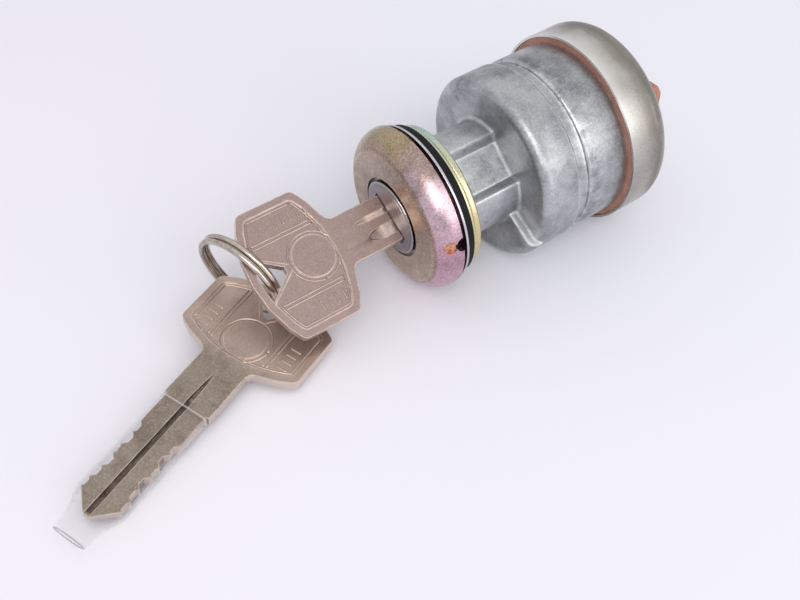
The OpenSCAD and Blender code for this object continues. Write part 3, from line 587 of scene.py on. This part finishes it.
def cast_metal(name, *colours, **wear):
    """Cast zinc with dark rub marks behind the parting groove."""
    material = worn_metal(name, *colours, **wear)
    tree, shader, effect = parts_of(material)
    offset = maths(tree, "SUBTRACT", axes_of(tree, millimetres(tree))["Y"], RUB_MIDDLE)
    near = remap(tree, magnitude(tree, offset), RUB_HALF, RUB_CORE, 0.0, RUB_AMOUNT)
    streaks = noise(tree, millimetres(tree, (1.0, 0.7, 1.0), (0, 0, 20)), 0.26, 8.0, 0.72)
    marks = maths(tree, "MULTIPLY", near, remap(tree, streaks, 0.46, 0.6))
    colour = mix_colour(tree, marks, effect.outputs["Color"], srgb(88, 94, 97))
    tree.links.new(colour, shader.inputs["Base Color"])
    return material


def cap_metal(name, *colours, **wear):
    """The cap's plating, with a painted highlight at the top of its lip and a band of painted shade before
    its rounded rear edge.
    """
    material = worn_metal(name, *colours, **wear)
    tree, shader, effect = parts_of(material)
    lip, rear = (corner[1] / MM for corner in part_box("rear_cap"))
    axes = axes_of(tree, millimetres(tree))
    ragged = remap(tree, noise(tree, millimetres(tree), 0.14, 5.0), 0.3, 0.7, -0.8, 0.8)
    along = maths(tree, "ADD", axes["Y"], ragged)
    # Painted highlight: the upper part of the lip is made paler.
    upper = remap(tree, axes["Z"], 0.0, CAP_HIGHLIGHT_HEIGHT, 0.0, CAP_HIGHLIGHT_AMOUNT)
    pale = maths(tree, "MULTIPLY", remap(tree, along, lip + CAP_HIGHLIGHT_REACH, lip), upper)
    # Painted shade: a dark band before the rounded rear edge.
    away = magnitude(tree, maths(tree, "SUBTRACT", along, rear - CAP_SHADE_BACK))
    band = remap(tree, away, CAP_SHADE_HALF, 0.0, 0.0, CAP_SHADE_AMOUNT)
    brightened = mix_colour(tree, pale, effect.outputs["Color"], srgb(240, 238, 234))
    colour = mix_colour(tree, band, brightened, srgb(106, 103, 92))
    tree.links.new(colour, shader.inputs["Base Color"])
    return material


def own_plane(tree, place):
    """The surface's place in a key's own plane, in millimetres."""
    back = place.inverted()
    coordinates = add_node(tree, "ShaderNodeTexCoord")
    mapping = add_node(tree, "ShaderNodeMapping", {
        "Vector": coordinates.outputs["Object"], "Location": back.to_translation(),
        "Rotation": back.to_euler("XYZ"), "Scale": (1 / MM, 1 / MM, 1 / MM),
    })
    return mapping.outputs["Vector"]


def key_metal(name, place, groove_colour, bow_light_colour, *colours, **wear):
    """Worn nickel with colours laid by place: groove floors in a colour given per key, which on the
    inserted key is a painted reflection; a painted highlight on the side walls; and on the spare, painted
    light that lifts its bow out of the other key's shade.
    """
    material = worn_metal(name, *colours, **wear)
    tree, shader, effect = parts_of(material)
    grooves = add_effect(tree, "Milled Grooves", groove_group, {"Place": own_plane(tree, place)})
    plain = effect.outputs["Color"]
    if bow_light_colour:
        # Painted light: the spare's bow is lightened where the inserted key shades it and darkens its
        # reflection.
        bow_light = maths(tree, "MULTIPLY", grooves.outputs["Bow"], BOW_LIGHT_AMOUNT)
        plain = mix_colour(tree, bow_light, plain, bow_light_colour)
    normal = add_node(tree, "ShaderNodeTexCoord").outputs["Normal"]
    facing = magnitude(tree, cosine(tree, normal, place.col[2].to_3d()))
    # Painted highlight: side walls, told by their normal, are lightened.
    walls = remap(tree, facing, *WALL_COSINES, 0.0, WALL_HIGHLIGHT_AMOUNT)
    walled = mix_colour(tree, walls, plain, effect.inputs["Bright Color"].default_value)
    # Groove floors take the given colour: a painted reflection on the inserted key, a dark colour on the
    # spare.
    colour = mix_colour(tree, grooves.outputs["Mask"], walled, groove_colour)
    tree.links.new(colour, shader.inputs["Base Color"])
    return material


def moulded(name, colour, pale, roughness, bump=0.3, specular=0.5):
    """Plastic or rubber from a mould."""
    material, tree, shader = new_material(name)
    effect = add_effect(tree, "Moulded Skin", moulding_group, {
        "Color": colour, "Pale Color": pale, "Roughness": roughness,
    })
    shader.inputs["Specular IOR Level"].default_value = specular
    link_effect(tree, shader, effect, bump)
    return material


def clear_plastic(name, place):
    """Clear soft tube: a thin film that shows where it is seen edge on, and at its lips, which carry
    painted shade at the free end and a painted highlight at the held end.
    """
    material, tree, shader = new_material(name)
    haze = noise(tree, millimetres(tree), 0.6, 4.0)
    tree.links.new(remap(tree, haze, 0.35, 0.7, 0.08, 0.2), shader.inputs["Roughness"])
    film = mix_colour(tree, remap(tree, haze, 0.35, 0.7), srgb(228, 227, 229), srgb(208, 208, 210))
    along = axes_of(tree, own_plane(tree, place))["Y"]
    held, free = SLEEVE_SECTIONS[0][0], SLEEVE_SECTIONS[-1][0]
    held_lip = remap(tree, along, held + LIP_WIDTH, held + LIP_WIDTH / 2)
    free_lip = remap(tree, along, free - LIP_WIDTH, free - LIP_WIDTH / 2)
    # Painted shade on the lip at the free end, and a painted highlight on the lip at the held end.
    tint = mix_colour(tree, free_lip, film, srgb(146, 142, 148))
    tint = mix_colour(tree, held_lip, tint, srgb(246, 236, 232))
    tree.links.new(tint, shader.inputs["Base Color"])
    slant = add_node(tree, "ShaderNodeLayerWeight", {"Blend": 0.5})
    cover = remap(tree, slant.outputs["Facing"], 0.5, 1.0, *FILM_COVER)
    lips = maths(tree, "MULTIPLY", maths(tree, "MAXIMUM", held_lip, free_lip), LIP_COVER)
    tree.links.new(maths(tree, "MAXIMUM", cover, lips), shader.inputs["Alpha"])
    return material


def build_finishes():
    """Every material by the name of its finish."""
    return {
        # The zinc's wide bright edges are partly wear and partly a painted highlight along the neck's
        # fillet and the channel's walls.
        "zinc": cast_metal(
            "Cast Zinc", srgb(184, 186, 188), srgb(118, 123, 126), srgb(254, 254, 254), roughness=0.4,
            size=7.0, stains=0.75, scratches=0.15, specks=0.2, bump=0.9, edges=1.0, edge_width=1.4),
        "bezel": bezel_metal("Bezel Chromate"),
        "nut": plated_metal(
            "Nut Chromate", srgb(186, 204, 188), srgb(212, 206, 172), srgb(222, 204, 156),
            half_width=14.0, drift=0.3, specks=0.2, bump=0.3),
        "steel": worn_metal(
            "Bright Steel", srgb(206, 203, 208), srgb(168, 164, 168), srgb(234, 233, 236), roughness=0.22,
            size=4.0, stains=0.5, scratches=0.3, specks=0.15, bump=0.3),
        "chrome": worn_metal(
            "Ferrule Chrome", srgb(164, 157, 156), srgb(128, 122, 121), srgb(228, 224, 224), roughness=0.1,
            size=3.0, stains=0.4, scratches=0.2, specks=0.1, bump=0.2),
        "plug": worn_metal(
            "Plug Plating", srgb(160, 153, 155), srgb(122, 115, 116), srgb(206, 200, 201), roughness=0.34,
            size=4.0, stains=0.6, scratches=0.4, specks=0.3, bump=0.4),
        # The inserted key's pale groove colour is a painted reflection.
        "key": key_metal(
            "Key Nickel", key_matrix(), srgb(236, 220, 208), None,
            srgb(166, 144, 138), srgb(146, 124, 118), srgb(246, 232, 224), roughness=0.36,
            size=5.0, stains=0.25, scratches=0.0, specks=0.12, bump=0.1, edges=1.0, edge_width=0.35),
        # The spare's pale bow colour is painted light against the inserted key's shade and dark
        # reflection; its groove colour is dark.
        "spare": key_metal(
            "Spare Nickel", spare_matrix(), srgb(84, 66, 56), srgb(240, 212, 200),
            srgb(153, 140, 127), srgb(120, 106, 94), srgb(240, 228, 217), roughness=0.44,
            size=6.0, stains=0.75, scratches=0.1, specks=0.2, bump=0.3, edges=0.9, edge_width=0.35),
        "cap": cap_metal(
            "Cap Plating", srgb(172, 167, 159), srgb(142, 137, 128), srgb(222, 217, 210), roughness=0.3,
            size=7.0, stains=0.6, scratches=0.0, specks=0.15, bump=0.2, edges=0.5, edge_width=0.2),
        "ring": worn_metal(
            "Ring Steel", srgb(196, 186, 176), srgb(136, 120, 106), srgb(236, 230, 222), roughness=0.18,
            size=3.0, stains=0.6, scratches=0.3, specks=0.2, bump=0.2, edges=0.0),
        "brass": worn_metal(
            "Contact Brass", srgb(206, 172, 108), srgb(150, 118, 70), srgb(232, 208, 150), roughness=0.34,
            size=3.0, stains=0.5, scratches=0.3, specks=0.2, bump=0.3),
        "phenolic": moulded("Phenolic", srgb(164, 112, 94), srgb(180, 128, 110), roughness=0.42),
        "rubber": moulded(
            "Gasket Rubber", srgb(16, 15, 16), srgb(28, 27, 28), roughness=0.66, specular=0.2),
        "clear": clear_plastic("Clear Sleeve", spare_matrix()),
    }


FINISH_OF_NODE = {
    "bezel_nut": "bezel", "bezel_washer": "steel", "panel_gasket": "rubber", "back_washer": "nut",
    "back_nut": "nut", "plug_ferrule": "chrome", "lock_plug": "plug", "wafer_tumblers": "brass",
    "wafer_springs": "steel", "plug_clip": "steel", "rotor": "phenolic", "return_spring": "steel",
    "detent_ball": "steel", "detent_spring": "steel", "moving_contact": "brass",
    "contact_springs": "steel", "terminal_base": "phenolic", "terminal_battery": "brass",
    "terminal_accessory": "brass", "terminal_ignition": "brass", "terminal_start": "brass",
    "terminal_resistor": "brass", "rear_cap": "cap", "base_screws": "steel",
    "body": "zinc", "key": "key", "spare_key": "spare", "key_ring": "ring", "key_sleeve": "clear",
}

# Nodes whose sharp edges are softened, with the width of the softening in millimetres.
SOFT_EDGES = {
    "body": 0.2,
    "key": 0.12,
    "spare_key": 0.12,
    "lock_plug": 0.1,
    "plug_ferrule": 0.08,
    "bezel_washer": 0.06,
    "panel_gasket": 0.12,
    "terminal_base": 0.14,
}


# Each finish's material by name, filled by the first operator.
FINISH_TITLES = {}


def finish_for(name):
    """The material of a finish, from the table that the first operator builds."""
    title = FINISH_TITLES.get(name)
    material = bpy.data.materials.get(title) if title else None
    if material is None:
        raise RuntimeError(f"no finish named {name}: mix the finishes first")
    return material


# Mesh building


def add_piece(name, mesh, body, finish):
    """A mesh as a piece that rides on a body and takes a slot's finish."""
    piece = bpy.data.objects.new(name, mesh)
    bpy.context.scene.collection.objects.link(piece)
    piece.data.materials.append(finish_for(finish))
    for polygon in piece.data.polygons:
        polygon.use_smooth = True
    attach(piece, body)
    return piece


def crossings_along(path):
    """Two directions across a path at each of its points, without twist."""
    last = len(path) - 1
    tangents = [(path[min(k + 1, last)] - path[max(k - 1, 0)]).normalized() for k in range(last + 1)]
    side = tangents[0].orthogonal().normalized()
    result = []
    for tangent in tangents:
        side = (side - tangent * side.dot(tangent)).normalized()
        result.append((side, tangent.cross(side)))
    return result


def join_rows(work, rows):
    """Adds faces to a bmesh between each loop of points and the next."""
    for first, second in zip(rows, rows[1:]):
        count = len(first)
        for k in range(count):
            n = (k + 1) % count
            work.faces.new((first[k], first[n], second[n], second[k]))


def close_ends(work, rows):
    """Closes the first and the last loop of points with a face."""
    work.faces.new(rows[0][::-1])
    work.faces.new(rows[-1])


def sweep(work, path, radius, sides):
    """Adds a round wire along a path to a bmesh, with flat ends."""
    turns = [2 * math.pi * k / sides for k in range(sides)]
    rows = [
        [work.verts.new(point + radius * (math.cos(turn) * side + math.sin(turn) * up)) for turn in turns]
        for point, (side, up) in zip(path, crossings_along(path))
    ]
    join_rows(work, rows)
    close_ends(work, rows)


def eased(share):
    """A share of a way that starts and stops softly."""
    return share * share * (3 - 2 * share)


def finished_mesh(name, work, place):
    """Turns a bmesh in millimetres into a placed mesh in metres."""
    bmesh.ops.recalc_face_normals(work, faces=work.faces)
    work.transform(Matrix.Scale(MM, 4) @ place)
    mesh = bpy.data.meshes.new(name)
    work.to_mesh(mesh)
    work.free()
    return mesh


def check_fit(piece, node, slack):
    """Stops unless a piece fills the box of the node that it stands for."""
    low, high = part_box(node)
    for axis in range(3):
        values = [vertex.co[axis] for vertex in piece.data.vertices]
        if abs(min(values) - low[axis]) > slack or abs(max(values) - high[axis]) > slack:
            raise RuntimeError(f"{piece.name} doesn't fit {node}: its place has changed")


# Settings


class EdgeSettings(PropertyGroup):
    """How far the cast and stamped edges are softened."""

    factor: FloatProperty(
        name="Edge Softening", description="Multiplies every softened edge's width",
        default=1.0, min=0.2, max=2.0, subtype="FACTOR")
    segments: IntProperty(
        name="Edge Segments", description="Steps across a softened edge", default=2, min=1, max=4)


class RingSettings(PropertyGroup):
    """The split ring."""

    radius: FloatProperty(
        name="Ring Radius", description="Mean radius of the coil", default=9.2 * MM, unit="LENGTH")
    wire: FloatProperty(
        name="Wire Radius", description="Radius of the wire", default=0.6 * MM, unit="LENGTH")
    gap: FloatProperty(
        name="Coil Gap", description="Gap between the two coils", default=0.1 * MM, unit="LENGTH")
    turns: FloatProperty(name="Turns", description="Turns of wire in the ring", default=1.84)
    cross: FloatProperty(
        name="Crossing", description="Sweep over which the wire changes from one coil to the other",
        default=math.radians(80), subtype="ANGLE")


class SleeveSettings(PropertyGroup):
    """The clear tube on the spare key."""

    wall: FloatProperty(
        name="Wall", description="Thickness of the tube's wall", default=0.3 * MM, unit="LENGTH")
    sides: IntProperty(name="Sides", description="Points round the tube", default=64, min=16)
    rows: IntProperty(name="Rows", description="Rows between two sections", default=8, min=2)


class ReliefSettings(PropertyGroup):
    """Raised lines on the keys' bows."""

    bead: FloatProperty(
        name="Line Radius", description="Radius of a raised line", default=0.2 * MM, unit="LENGTH")
    margin: FloatProperty(
        name="Margin", description="Distance from the bow's edge to the outer line",
        default=2.1 * MM, unit="LENGTH")
    spacing: FloatProperty(
        name="Spacing", description="Distance between two lines", default=0.75 * MM, unit="LENGTH")


class GrooveSettings(PropertyGroup):
    """The run-outs of the keys' milled grooves."""

    lap: FloatProperty(
        name="Lap", description="How far a run-out laps over the groove's rounded edges",
        default=0.14 * MM, unit="LENGTH")
    proud: FloatProperty(
        name="Proud", description="How far a run-out stands above the key's face",
        default=0.01 * MM, unit="LENGTH")
    wing: FloatProperty(
        name="Wing", description="How far a run-out goes on under the key's face",
        default=0.7 * MM, unit="LENGTH")
    sink: FloatProperty(
        name="Sink", description="How deep the edge of that wing lies", default=0.05 * MM, unit="LENGTH")
    steps: IntProperty(name="Steps", description="Rows along a run-out", default=20, min=4)


class StageSettings(PropertyGroup):
    """Floor, light and camera."""

    floor_width: FloatProperty(
        name="Floor Width", description="Width of the floor", default=3.0, unit="LENGTH")
    ambient: FloatProperty(
        name="Ambient", description="Strength of the light from all round", default=0.8)
    soft_box: FloatProperty(
        name="Soft Box", description="Power of the soft box behind the camera", default=7.6, unit="POWER")
    lens: FloatProperty(
        name="Lens", description="Focal length of the camera", default=40.7, unit="CAMERA")


# Operators


class SWITCH_OT_mix_finishes(Operator):
    """Make the materials"""

    bl_idname = "switch.mix_finishes"
    bl_label = "Mix Finishes"

    def execute(self, context):
        FINISH_TITLES.clear()
        for key, material in build_finishes().items():
            FINISH_TITLES[key] = material.name
        return {"FINISHED"}


class SWITCH_OT_dress_nodes(Operator):
    """Give each CAD node its finish and soften its edges"""

    bl_idname = "switch.dress_nodes"
    bl_label = "Dress Nodes"

    def execute(self, context):
        for name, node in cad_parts.items():
            node.data.materials.clear()
            node.data.materials.append(finish_for(FINISH_OF_NODE[name]))
            if name in SOFT_EDGES:
                soften(node, SOFT_EDGES[name], context.scene.switch_edges)
        return {"FINISHED"}


def soften(node, width, settings):
    """Rounds a node's sharp edges with modifiers."""
    weld = node.modifiers.new("Weld", "WELD")
    weld.merge_threshold = WELD_GAP
    flats = node.modifiers.new("Join Flats", "DECIMATE")
    flats.decimate_type = "DISSOLVE"
    flats.angle_limit = math.radians(FLAT_ANGLE)
    bevel = node.modifiers.new("Soft Edges", "BEVEL")
    bevel.width = width * settings.factor * MM
    bevel.segments = settings.segments
    bevel.limit_method = "ANGLE"
    bevel.angle_limit = math.radians(SHARP_ANGLE)
    bevel.harden_normals = True


class SWITCH_OT_wind_ring(Operator):
    """Wind the split ring as one smooth wire"""

    bl_idname = "switch.wind_ring"
    bl_label = "Wind Ring"

    def execute(self, context):
        settings = context.scene.switch_ring
        wire = settings.wire / MM
        rise = 2 * wire + settings.gap / MM
        first = math.pi * (2 - settings.turns)
        span = 2 * math.pi * settings.turns
        radius = settings.radius / MM
        path = []
        for k in range(RING_STEPS + 1):
            angle = first + span * k / RING_STEPS
            crossed = min(1.0, max(0.0, (angle - 2 * math.pi) / settings.cross + 0.5))
            lift = rise * (eased(crossed) - 0.5)
            path.append(Vector((radius * math.cos(angle), radius * math.sin(angle), lift)))
        work = bmesh.new()
        sweep(work, path, wire, RING_SIDES)
        mesh = finished_mesh("split_ring", work, ring_matrix())
        piece = add_piece("split_ring", mesh, "ring", "ring")
        check_fit(piece, "key_ring", RING_SLACK)
        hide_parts("key_ring")
        return {"FINISHED"}


def section_point(section, angle, grow):
    """A point of a rounded section, grown by a wall."""
    station, half_width, half_height, square = section
    across, up = math.cos(angle), math.sin(angle)
    return Vector((
        (half_width + grow) * math.copysign(abs(across) ** (2 / square), across),
        station,
        (half_height + grow) * math.copysign(abs(up) ** (2 / square), up),
    ))


def eased_sections(rows):
    """The sleeve's sections with rows between them that ease from one to the next."""
    result = []
    for first, second in zip(SLEEVE_SECTIONS, SLEEVE_SECTIONS[1:]):
        for row in range(rows):
            share = row / rows
            shape = [a + (b - a) * eased(share) for a, b in zip(first, second)]
            shape[0] = first[0] + (second[0] - first[0]) * share
            result.append(shape)
    result.append(list(SLEEVE_SECTIONS[-1]))
    return result


class SWITCH_OT_draw_sleeve(Operator):
    """Draw the clear tube over the spare key's blade"""

    bl_idname = "switch.draw_sleeve"
    bl_label = "Draw Sleeve"

    def execute(self, context):
        settings = context.scene.switch_sleeve
        sections = eased_sections(settings.rows)
        work = bmesh.new()
        skins = []
        for grow in (settings.wall / MM, 0.0):
            skins.append([
                [
                    work.verts.new(section_point(section, 2 * math.pi * k / settings.sides, grow))
                    for k in range(settings.sides)
                ]
                for section in sections
            ])
        outer, inner = skins
        join_rows(work, outer + inner[::-1] + outer[:1])
        mesh = finished_mesh("clear_sleeve", work, spare_matrix())
        piece = add_piece("clear_sleeve", mesh, "spare", "clear")
        check_fit(piece, "key_sleeve", SLEEVE_SLACK)
        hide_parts("key_sleeve")
        return {"FINISHED"}


def bow_end_at(x, margin, end):
    """Where a line inside the bow meets its curved end: 1 at the shank's end, -1 at the hole's."""
    reach = math.sqrt((BOW_ARC - margin) ** 2 - x ** 2)
    return -BOW_START - BOW_ARC + reach if end > 0 else -BOW_END + BOW_ARC - reach


def bow_line(margin):
    """Points of a line that follows the bow's edge at a distance."""
    half = BOW_WIDTH / 2 - margin
    xs = [half * (2 * k / BOW_STEPS - 1) for k in range(BOW_STEPS + 1)]
    upper = [(x, bow_end_at(x, margin, 1)) for x in xs]
    lower = [(x, bow_end_at(x, margin, -1)) for x in reversed(xs)]
    right = between(upper[-1], lower[0], SIDE_STEPS)
    left = between(lower[-1], upper[0], SIDE_STEPS)
    return upper + right + lower + left


def between(first, last, steps):
    """Points on a straight line, without its ends."""
    return [
        tuple(a + (b - a) * k / steps for a, b in zip(first, last)) for k in range(1, steps)
    ]


def near_hole(point, margin):
    """Whether a point lies in the plain border round the bow's hole."""
    x, y = point
    drop = BOW_HOLE_APEX + margin - y
    if drop < 0:
        return False
    beside = HOLE_TIP_HALF + margin * HOLE_TIP_SHARE + drop * BOW_HOLE_SLOPE
    return abs(x) < min(BOW_HOLE_HALF + margin, beside)


def open_runs(points, margin):
    """Splits a line into the runs that stay clear of the bow's hole."""
    runs, run = [], []
    for point in points:
        if near_hole(point, margin):
            if len(run) >= SHORTEST_RUN:
                runs.append(run)
            run = []
        else:
            run.append(point)
    if len(run) >= SHORTEST_RUN:
        runs.append(run)
    return runs


def relief_lines(margin, spacing):
    """The lines raised on one face of a bow: a border, two panel edges, a ring and grip bars."""
    lines = open_runs(bow_line(margin), HOLE_BORDER)
    middle = -BOW_START - RELIEF_MIDDLE * (BOW_END - BOW_START)
    turns = [2 * math.pi * k / CIRCLE_STEPS for k in range(CIRCLE_STEPS + 1)]
    lines.append([(RELIEF_RING * math.cos(a), middle + RELIEF_RING * math.sin(a)) for a in turns])
    for side in (-1, 1):
        for row in range(2):
            x = side * (PANEL_EDGE + row * spacing)
            upper, lower = ((x, bow_end_at(x, margin, end)) for end in (1, -1))
            lines.append(between(upper, lower, PANEL_STEPS))
        for row in range(BARS):
            y = middle + BAR_FIRST - BAR_PITCH * row
            inner, outer = ((side * x, y) for x in BAR_SPAN)
            lines.append(between(inner, outer, BAR_STEPS))
    return lines


class SWITCH_OT_raise_relief(Operator):
    """Raise border lines, a ring and grip lines on both faces of each bow"""

    bl_idname = "switch.raise_relief"
    bl_label = "Raise Relief"

    def execute(self, context):
        settings = context.scene.switch_relief
        for name, place, body, finish in (
            ("key_relief", key_matrix(), "inserted_key", "key"),
            ("spare_relief", spare_matrix(), "spare", "spare"),
        ):
            work = bmesh.new()
            for face in (-1, 1):
                for run in relief_lines(settings.margin / MM, settings.spacing / MM):
                    level = face * (KEY_HALF - PANEL_DEPTH)
                    path = [Vector((x, y, level)) for x, y in run]
                    sweep(work, path, settings.bead / MM, BEAD_SIDES)
            mesh = finished_mesh(name, work, place)
            add_piece(name, mesh, body, finish)
        return {"FINISHED"}


def run_out(work, groove, settings):
    """Adds a strip whose trough narrows and shallows from a groove's full section to nothing."""
    middle, width, face, deep, shallow = groove
    lap = width / 2 + settings.lap / MM
    wing = lap + settings.wing / MM
    sunk = KEY_HALF - settings.sink / MM
    bottom = KEY_HALF - GROOVE_CUT
    power = 1.0 if width < BLUNT_WIDTH else BLUNT_POWER
    first_share, last_share = FLOOR_SHARES
    stations = [deep + (shallow - deep) * k / settings.steps for k in range(settings.steps + 1)]
    rows = []
    for run in stations + [GROOVE_CLOSE, GROOVE_CLOSE + settings.wing / MM]:
        top = KEY_HALF + settings.proud / MM if run <= GROOVE_CLOSE else sunk
        way = min(1.0, (run - deep) / (shallow - deep))
        left = max(RUN_OUT_LEAST, 1 - way ** RUN_OUT_RISE)
        half = width / 2 * left ** power
        floor = top - GROOVE_CUT * left
        flat = half * (first_share + (last_share - first_share) * way)
        section = (
            (-wing, sunk), (-lap, top), (-half, top), (-flat, floor), (flat, floor),
            (half, top), (lap, top), (wing, sunk), (wing, bottom), (-wing, bottom),
        )
        rows.append([work.verts.new((middle + x, -run, face * z)) for x, z in section])
    join_rows(work, rows)
    close_ends(work, rows)


class SWITCH_OT_end_grooves(Operator):
    """Run the milled grooves out before the bow, as the cutter leaves them"""

    bl_idname = "switch.end_grooves"
    bl_label = "End Grooves"

    def execute(self, context):
        settings = context.scene.switch_grooves
        for name, place, body, finish in (
            ("key_groove_ends", key_matrix(), "inserted_key", "key"),
            ("spare_groove_ends", spare_matrix(), "spare", "spare"),
        ):
            work = bmesh.new()
            for groove in GROOVE_ENDS:
                run_out(work, groove, settings)
            mesh = finished_mesh(name, work, place)
            piece = add_piece(name, mesh, body, finish)
            piece.data.set_sharp_from_angle(angle=math.radians(RUN_OUT_CREASE))
        return {"FINISHED"}


# Stage

# The camera's place in millimetres and its axes, and the plane on which the object lies.
CAMERA_PLACE = Vector((113.35, -73.6, 121.35))
CAMERA_RIGHT = Vector((0.5594, 0.8263, -0.0651))
CAMERA_UP = Vector((-0.5935, 0.4541, 0.6643))
CAMERA_BACK = Vector((0.5785, -0.333, 0.7445))
FLOOR_NORMAL = Vector((0.0, 0.0823, 0.9966))
FLOOR_LEVEL = -17.95

# Each lamp's place in millimetres, its width in metres and its share of the soft box's power.
LAMPS = (
    ("soft_box", (880, -520, 980), 0.85, 1.0),
    ("side_box", (1000, 300, 420), 0.9, 0.52),
)
LAMP_COLOUR = (1.0, 0.985, 0.97)


class SWITCH_OT_set_stage(Operator):
    """Lay the pale floor and set the light and the camera"""

    bl_idname = "switch.set_stage"
    bl_label = "Set Stage"

    def execute(self, context):
        settings = context.scene.switch_stage
        lay_floor(settings)
        light_world(context.scene, settings)
        hang_lamps(settings)
        place_camera(context.scene, settings)
        return {"FINISHED"}


def lay_floor(settings):
    """A plain plane under the object, tilted as the switch lies."""
    half = settings.floor_width / 2
    mesh = bpy.data.meshes.new("floor")
    corners = [(-half, -half, 0), (half, -half, 0), (half, half, 0), (-half, half, 0)]
    mesh.from_pydata(corners, [], [(0, 1, 2, 3)])
    floor = bpy.data.objects.new("floor", mesh)
    bpy.context.scene.collection.objects.link(floor)
    turn = FLOOR_NORMAL.to_track_quat("Z", "Y").to_matrix().to_4x4()
    floor.matrix_world = Matrix.Translation(FLOOR_NORMAL * FLOOR_LEVEL * MM) @ turn
    material, tree, shader = new_material("Pale Floor")
    drift = noise(tree, millimetres(tree, (0.004, 0.004, 0.004)), 1.0, 2.0)
    colour = mix_colour(tree, remap(tree, drift, 0.35, 0.65), srgb(241, 238, 245), srgb(237, 238, 246))
    tree.links.new(colour, shader.inputs["Base Color"])
    shader.inputs["Roughness"].default_value = 0.9
    shader.inputs["Specular IOR Level"].default_value = 0.1
    mesh.materials.append(material)


def light_world(scene, settings):
    """A pale tent: even to the eye, brighter overhead for what reflects it."""
    world = bpy.data.worlds.new("Pale Tent")
    scene.world = world
    world.use_nodes = True
    tree = world.node_tree
    place = add_node(tree, "ShaderNodeTexCoord")
    height = remap(tree, axes_of(tree, place.outputs["Generated"])["Z"], -0.1, 0.9)
    tent = mix_colour(tree, height, srgb(198, 199, 205), srgb(250, 250, 252))
    path = add_node(tree, "ShaderNodeLightPath")
    seen = mix_colour(tree, path.outputs["Is Camera Ray"], tent, srgb(236, 233, 242))
    mirrored = maths(tree, "MAXIMUM", path.outputs["Is Camera Ray"], path.outputs["Is Glossy Ray"])
    strength = remap(tree, mirrored, 0, 1, settings.ambient, 1.0)
    background = tree.nodes["Background"]
    tree.links.new(seen, background.inputs["Color"])
    tree.links.new(strength, background.inputs["Strength"])


def hang_lamps(settings):
    """A soft box behind the camera and a weaker one low on the right."""
    for name, place, width, share in LAMPS:
        lamp = bpy.data.lights.new(name, "AREA")
        lamp.size = width
        lamp.energy = settings.soft_box * share
        lamp.color = LAMP_COLOUR
        holder = bpy.data.objects.new(name, lamp)
        bpy.context.scene.collection.objects.link(holder)
        holder.location = Vector(place) * MM
        holder.rotation_euler = Vector(place).to_track_quat("Z", "Y").to_euler()


def place_camera(scene, settings):
    """The camera where the picture was taken from."""
    camera = bpy.data.cameras.new("camera")
    camera.lens = settings.lens
    camera.clip_start = 5 * MM
    holder = bpy.data.objects.new("camera", camera)
    scene.collection.objects.link(holder)
    axes = Matrix((CAMERA_RIGHT, CAMERA_UP, CAMERA_BACK)).transposed().to_4x4()
    holder.matrix_world = Matrix.Translation(CAMERA_PLACE * MM) @ axes
    scene.camera = holder
    scene.view_settings.view_transform = "Standard"


class SWITCH_PT_dresser(Panel):
    """Lists the steps in the order in which they run"""

    bl_idname = "SWITCH_PT_dresser"
    bl_label = "Ignition Switch"
    bl_space_type = "VIEW_3D"
    bl_region_type = "UI"
    bl_category = "Switch"

    def draw(self, context):
        for step in OPERATORS:
            self.layout.operator(step.bl_idname)
        for owner in SETTINGS:
            group = getattr(context.scene, owner)
            for key in group.__annotations__:
                self.layout.prop(group, key)


OPERATORS = (
    SWITCH_OT_mix_finishes, SWITCH_OT_dress_nodes, SWITCH_OT_wind_ring, SWITCH_OT_draw_sleeve,
    SWITCH_OT_raise_relief, SWITCH_OT_end_grooves, SWITCH_OT_set_stage,
)
SETTINGS = {
    "switch_edges": EdgeSettings,
    "switch_ring": RingSettings,
    "switch_sleeve": SleeveSettings,
    "switch_relief": ReliefSettings,
    "switch_grooves": GrooveSettings,
    "switch_stage": StageSettings,
}


def register():
    """Registers the settings, the operators and the panel."""
    for owner, group in SETTINGS.items():
        bpy.utils.register_class(group)
        setattr(bpy.types.Scene, owner, PointerProperty(type=group))
    for step in OPERATORS:
        bpy.utils.register_class(step)
    bpy.utils.register_class(SWITCH_PT_dresser)


def unregister():
    """Takes back what register added."""
    bpy.utils.unregister_class(SWITCH_PT_dresser)
    for step in reversed(OPERATORS):
        bpy.utils.unregister_class(step)
    for owner, group in reversed(SETTINGS.items()):
        delattr(bpy.types.Scene, owner)
        bpy.utils.unregister_class(group)


def main():
    """Runs every step."""
    register()
    bpy.ops.switch.mix_finishes()
    bpy.ops.switch.dress_nodes()
    bpy.ops.switch.wind_ring()
    bpy.ops.switch.draw_sleeve()
    bpy.ops.switch.raise_relief()
    bpy.ops.switch.end_grooves()
    bpy.ops.switch.set_stage()


if __name__ == "__main__":
    main()
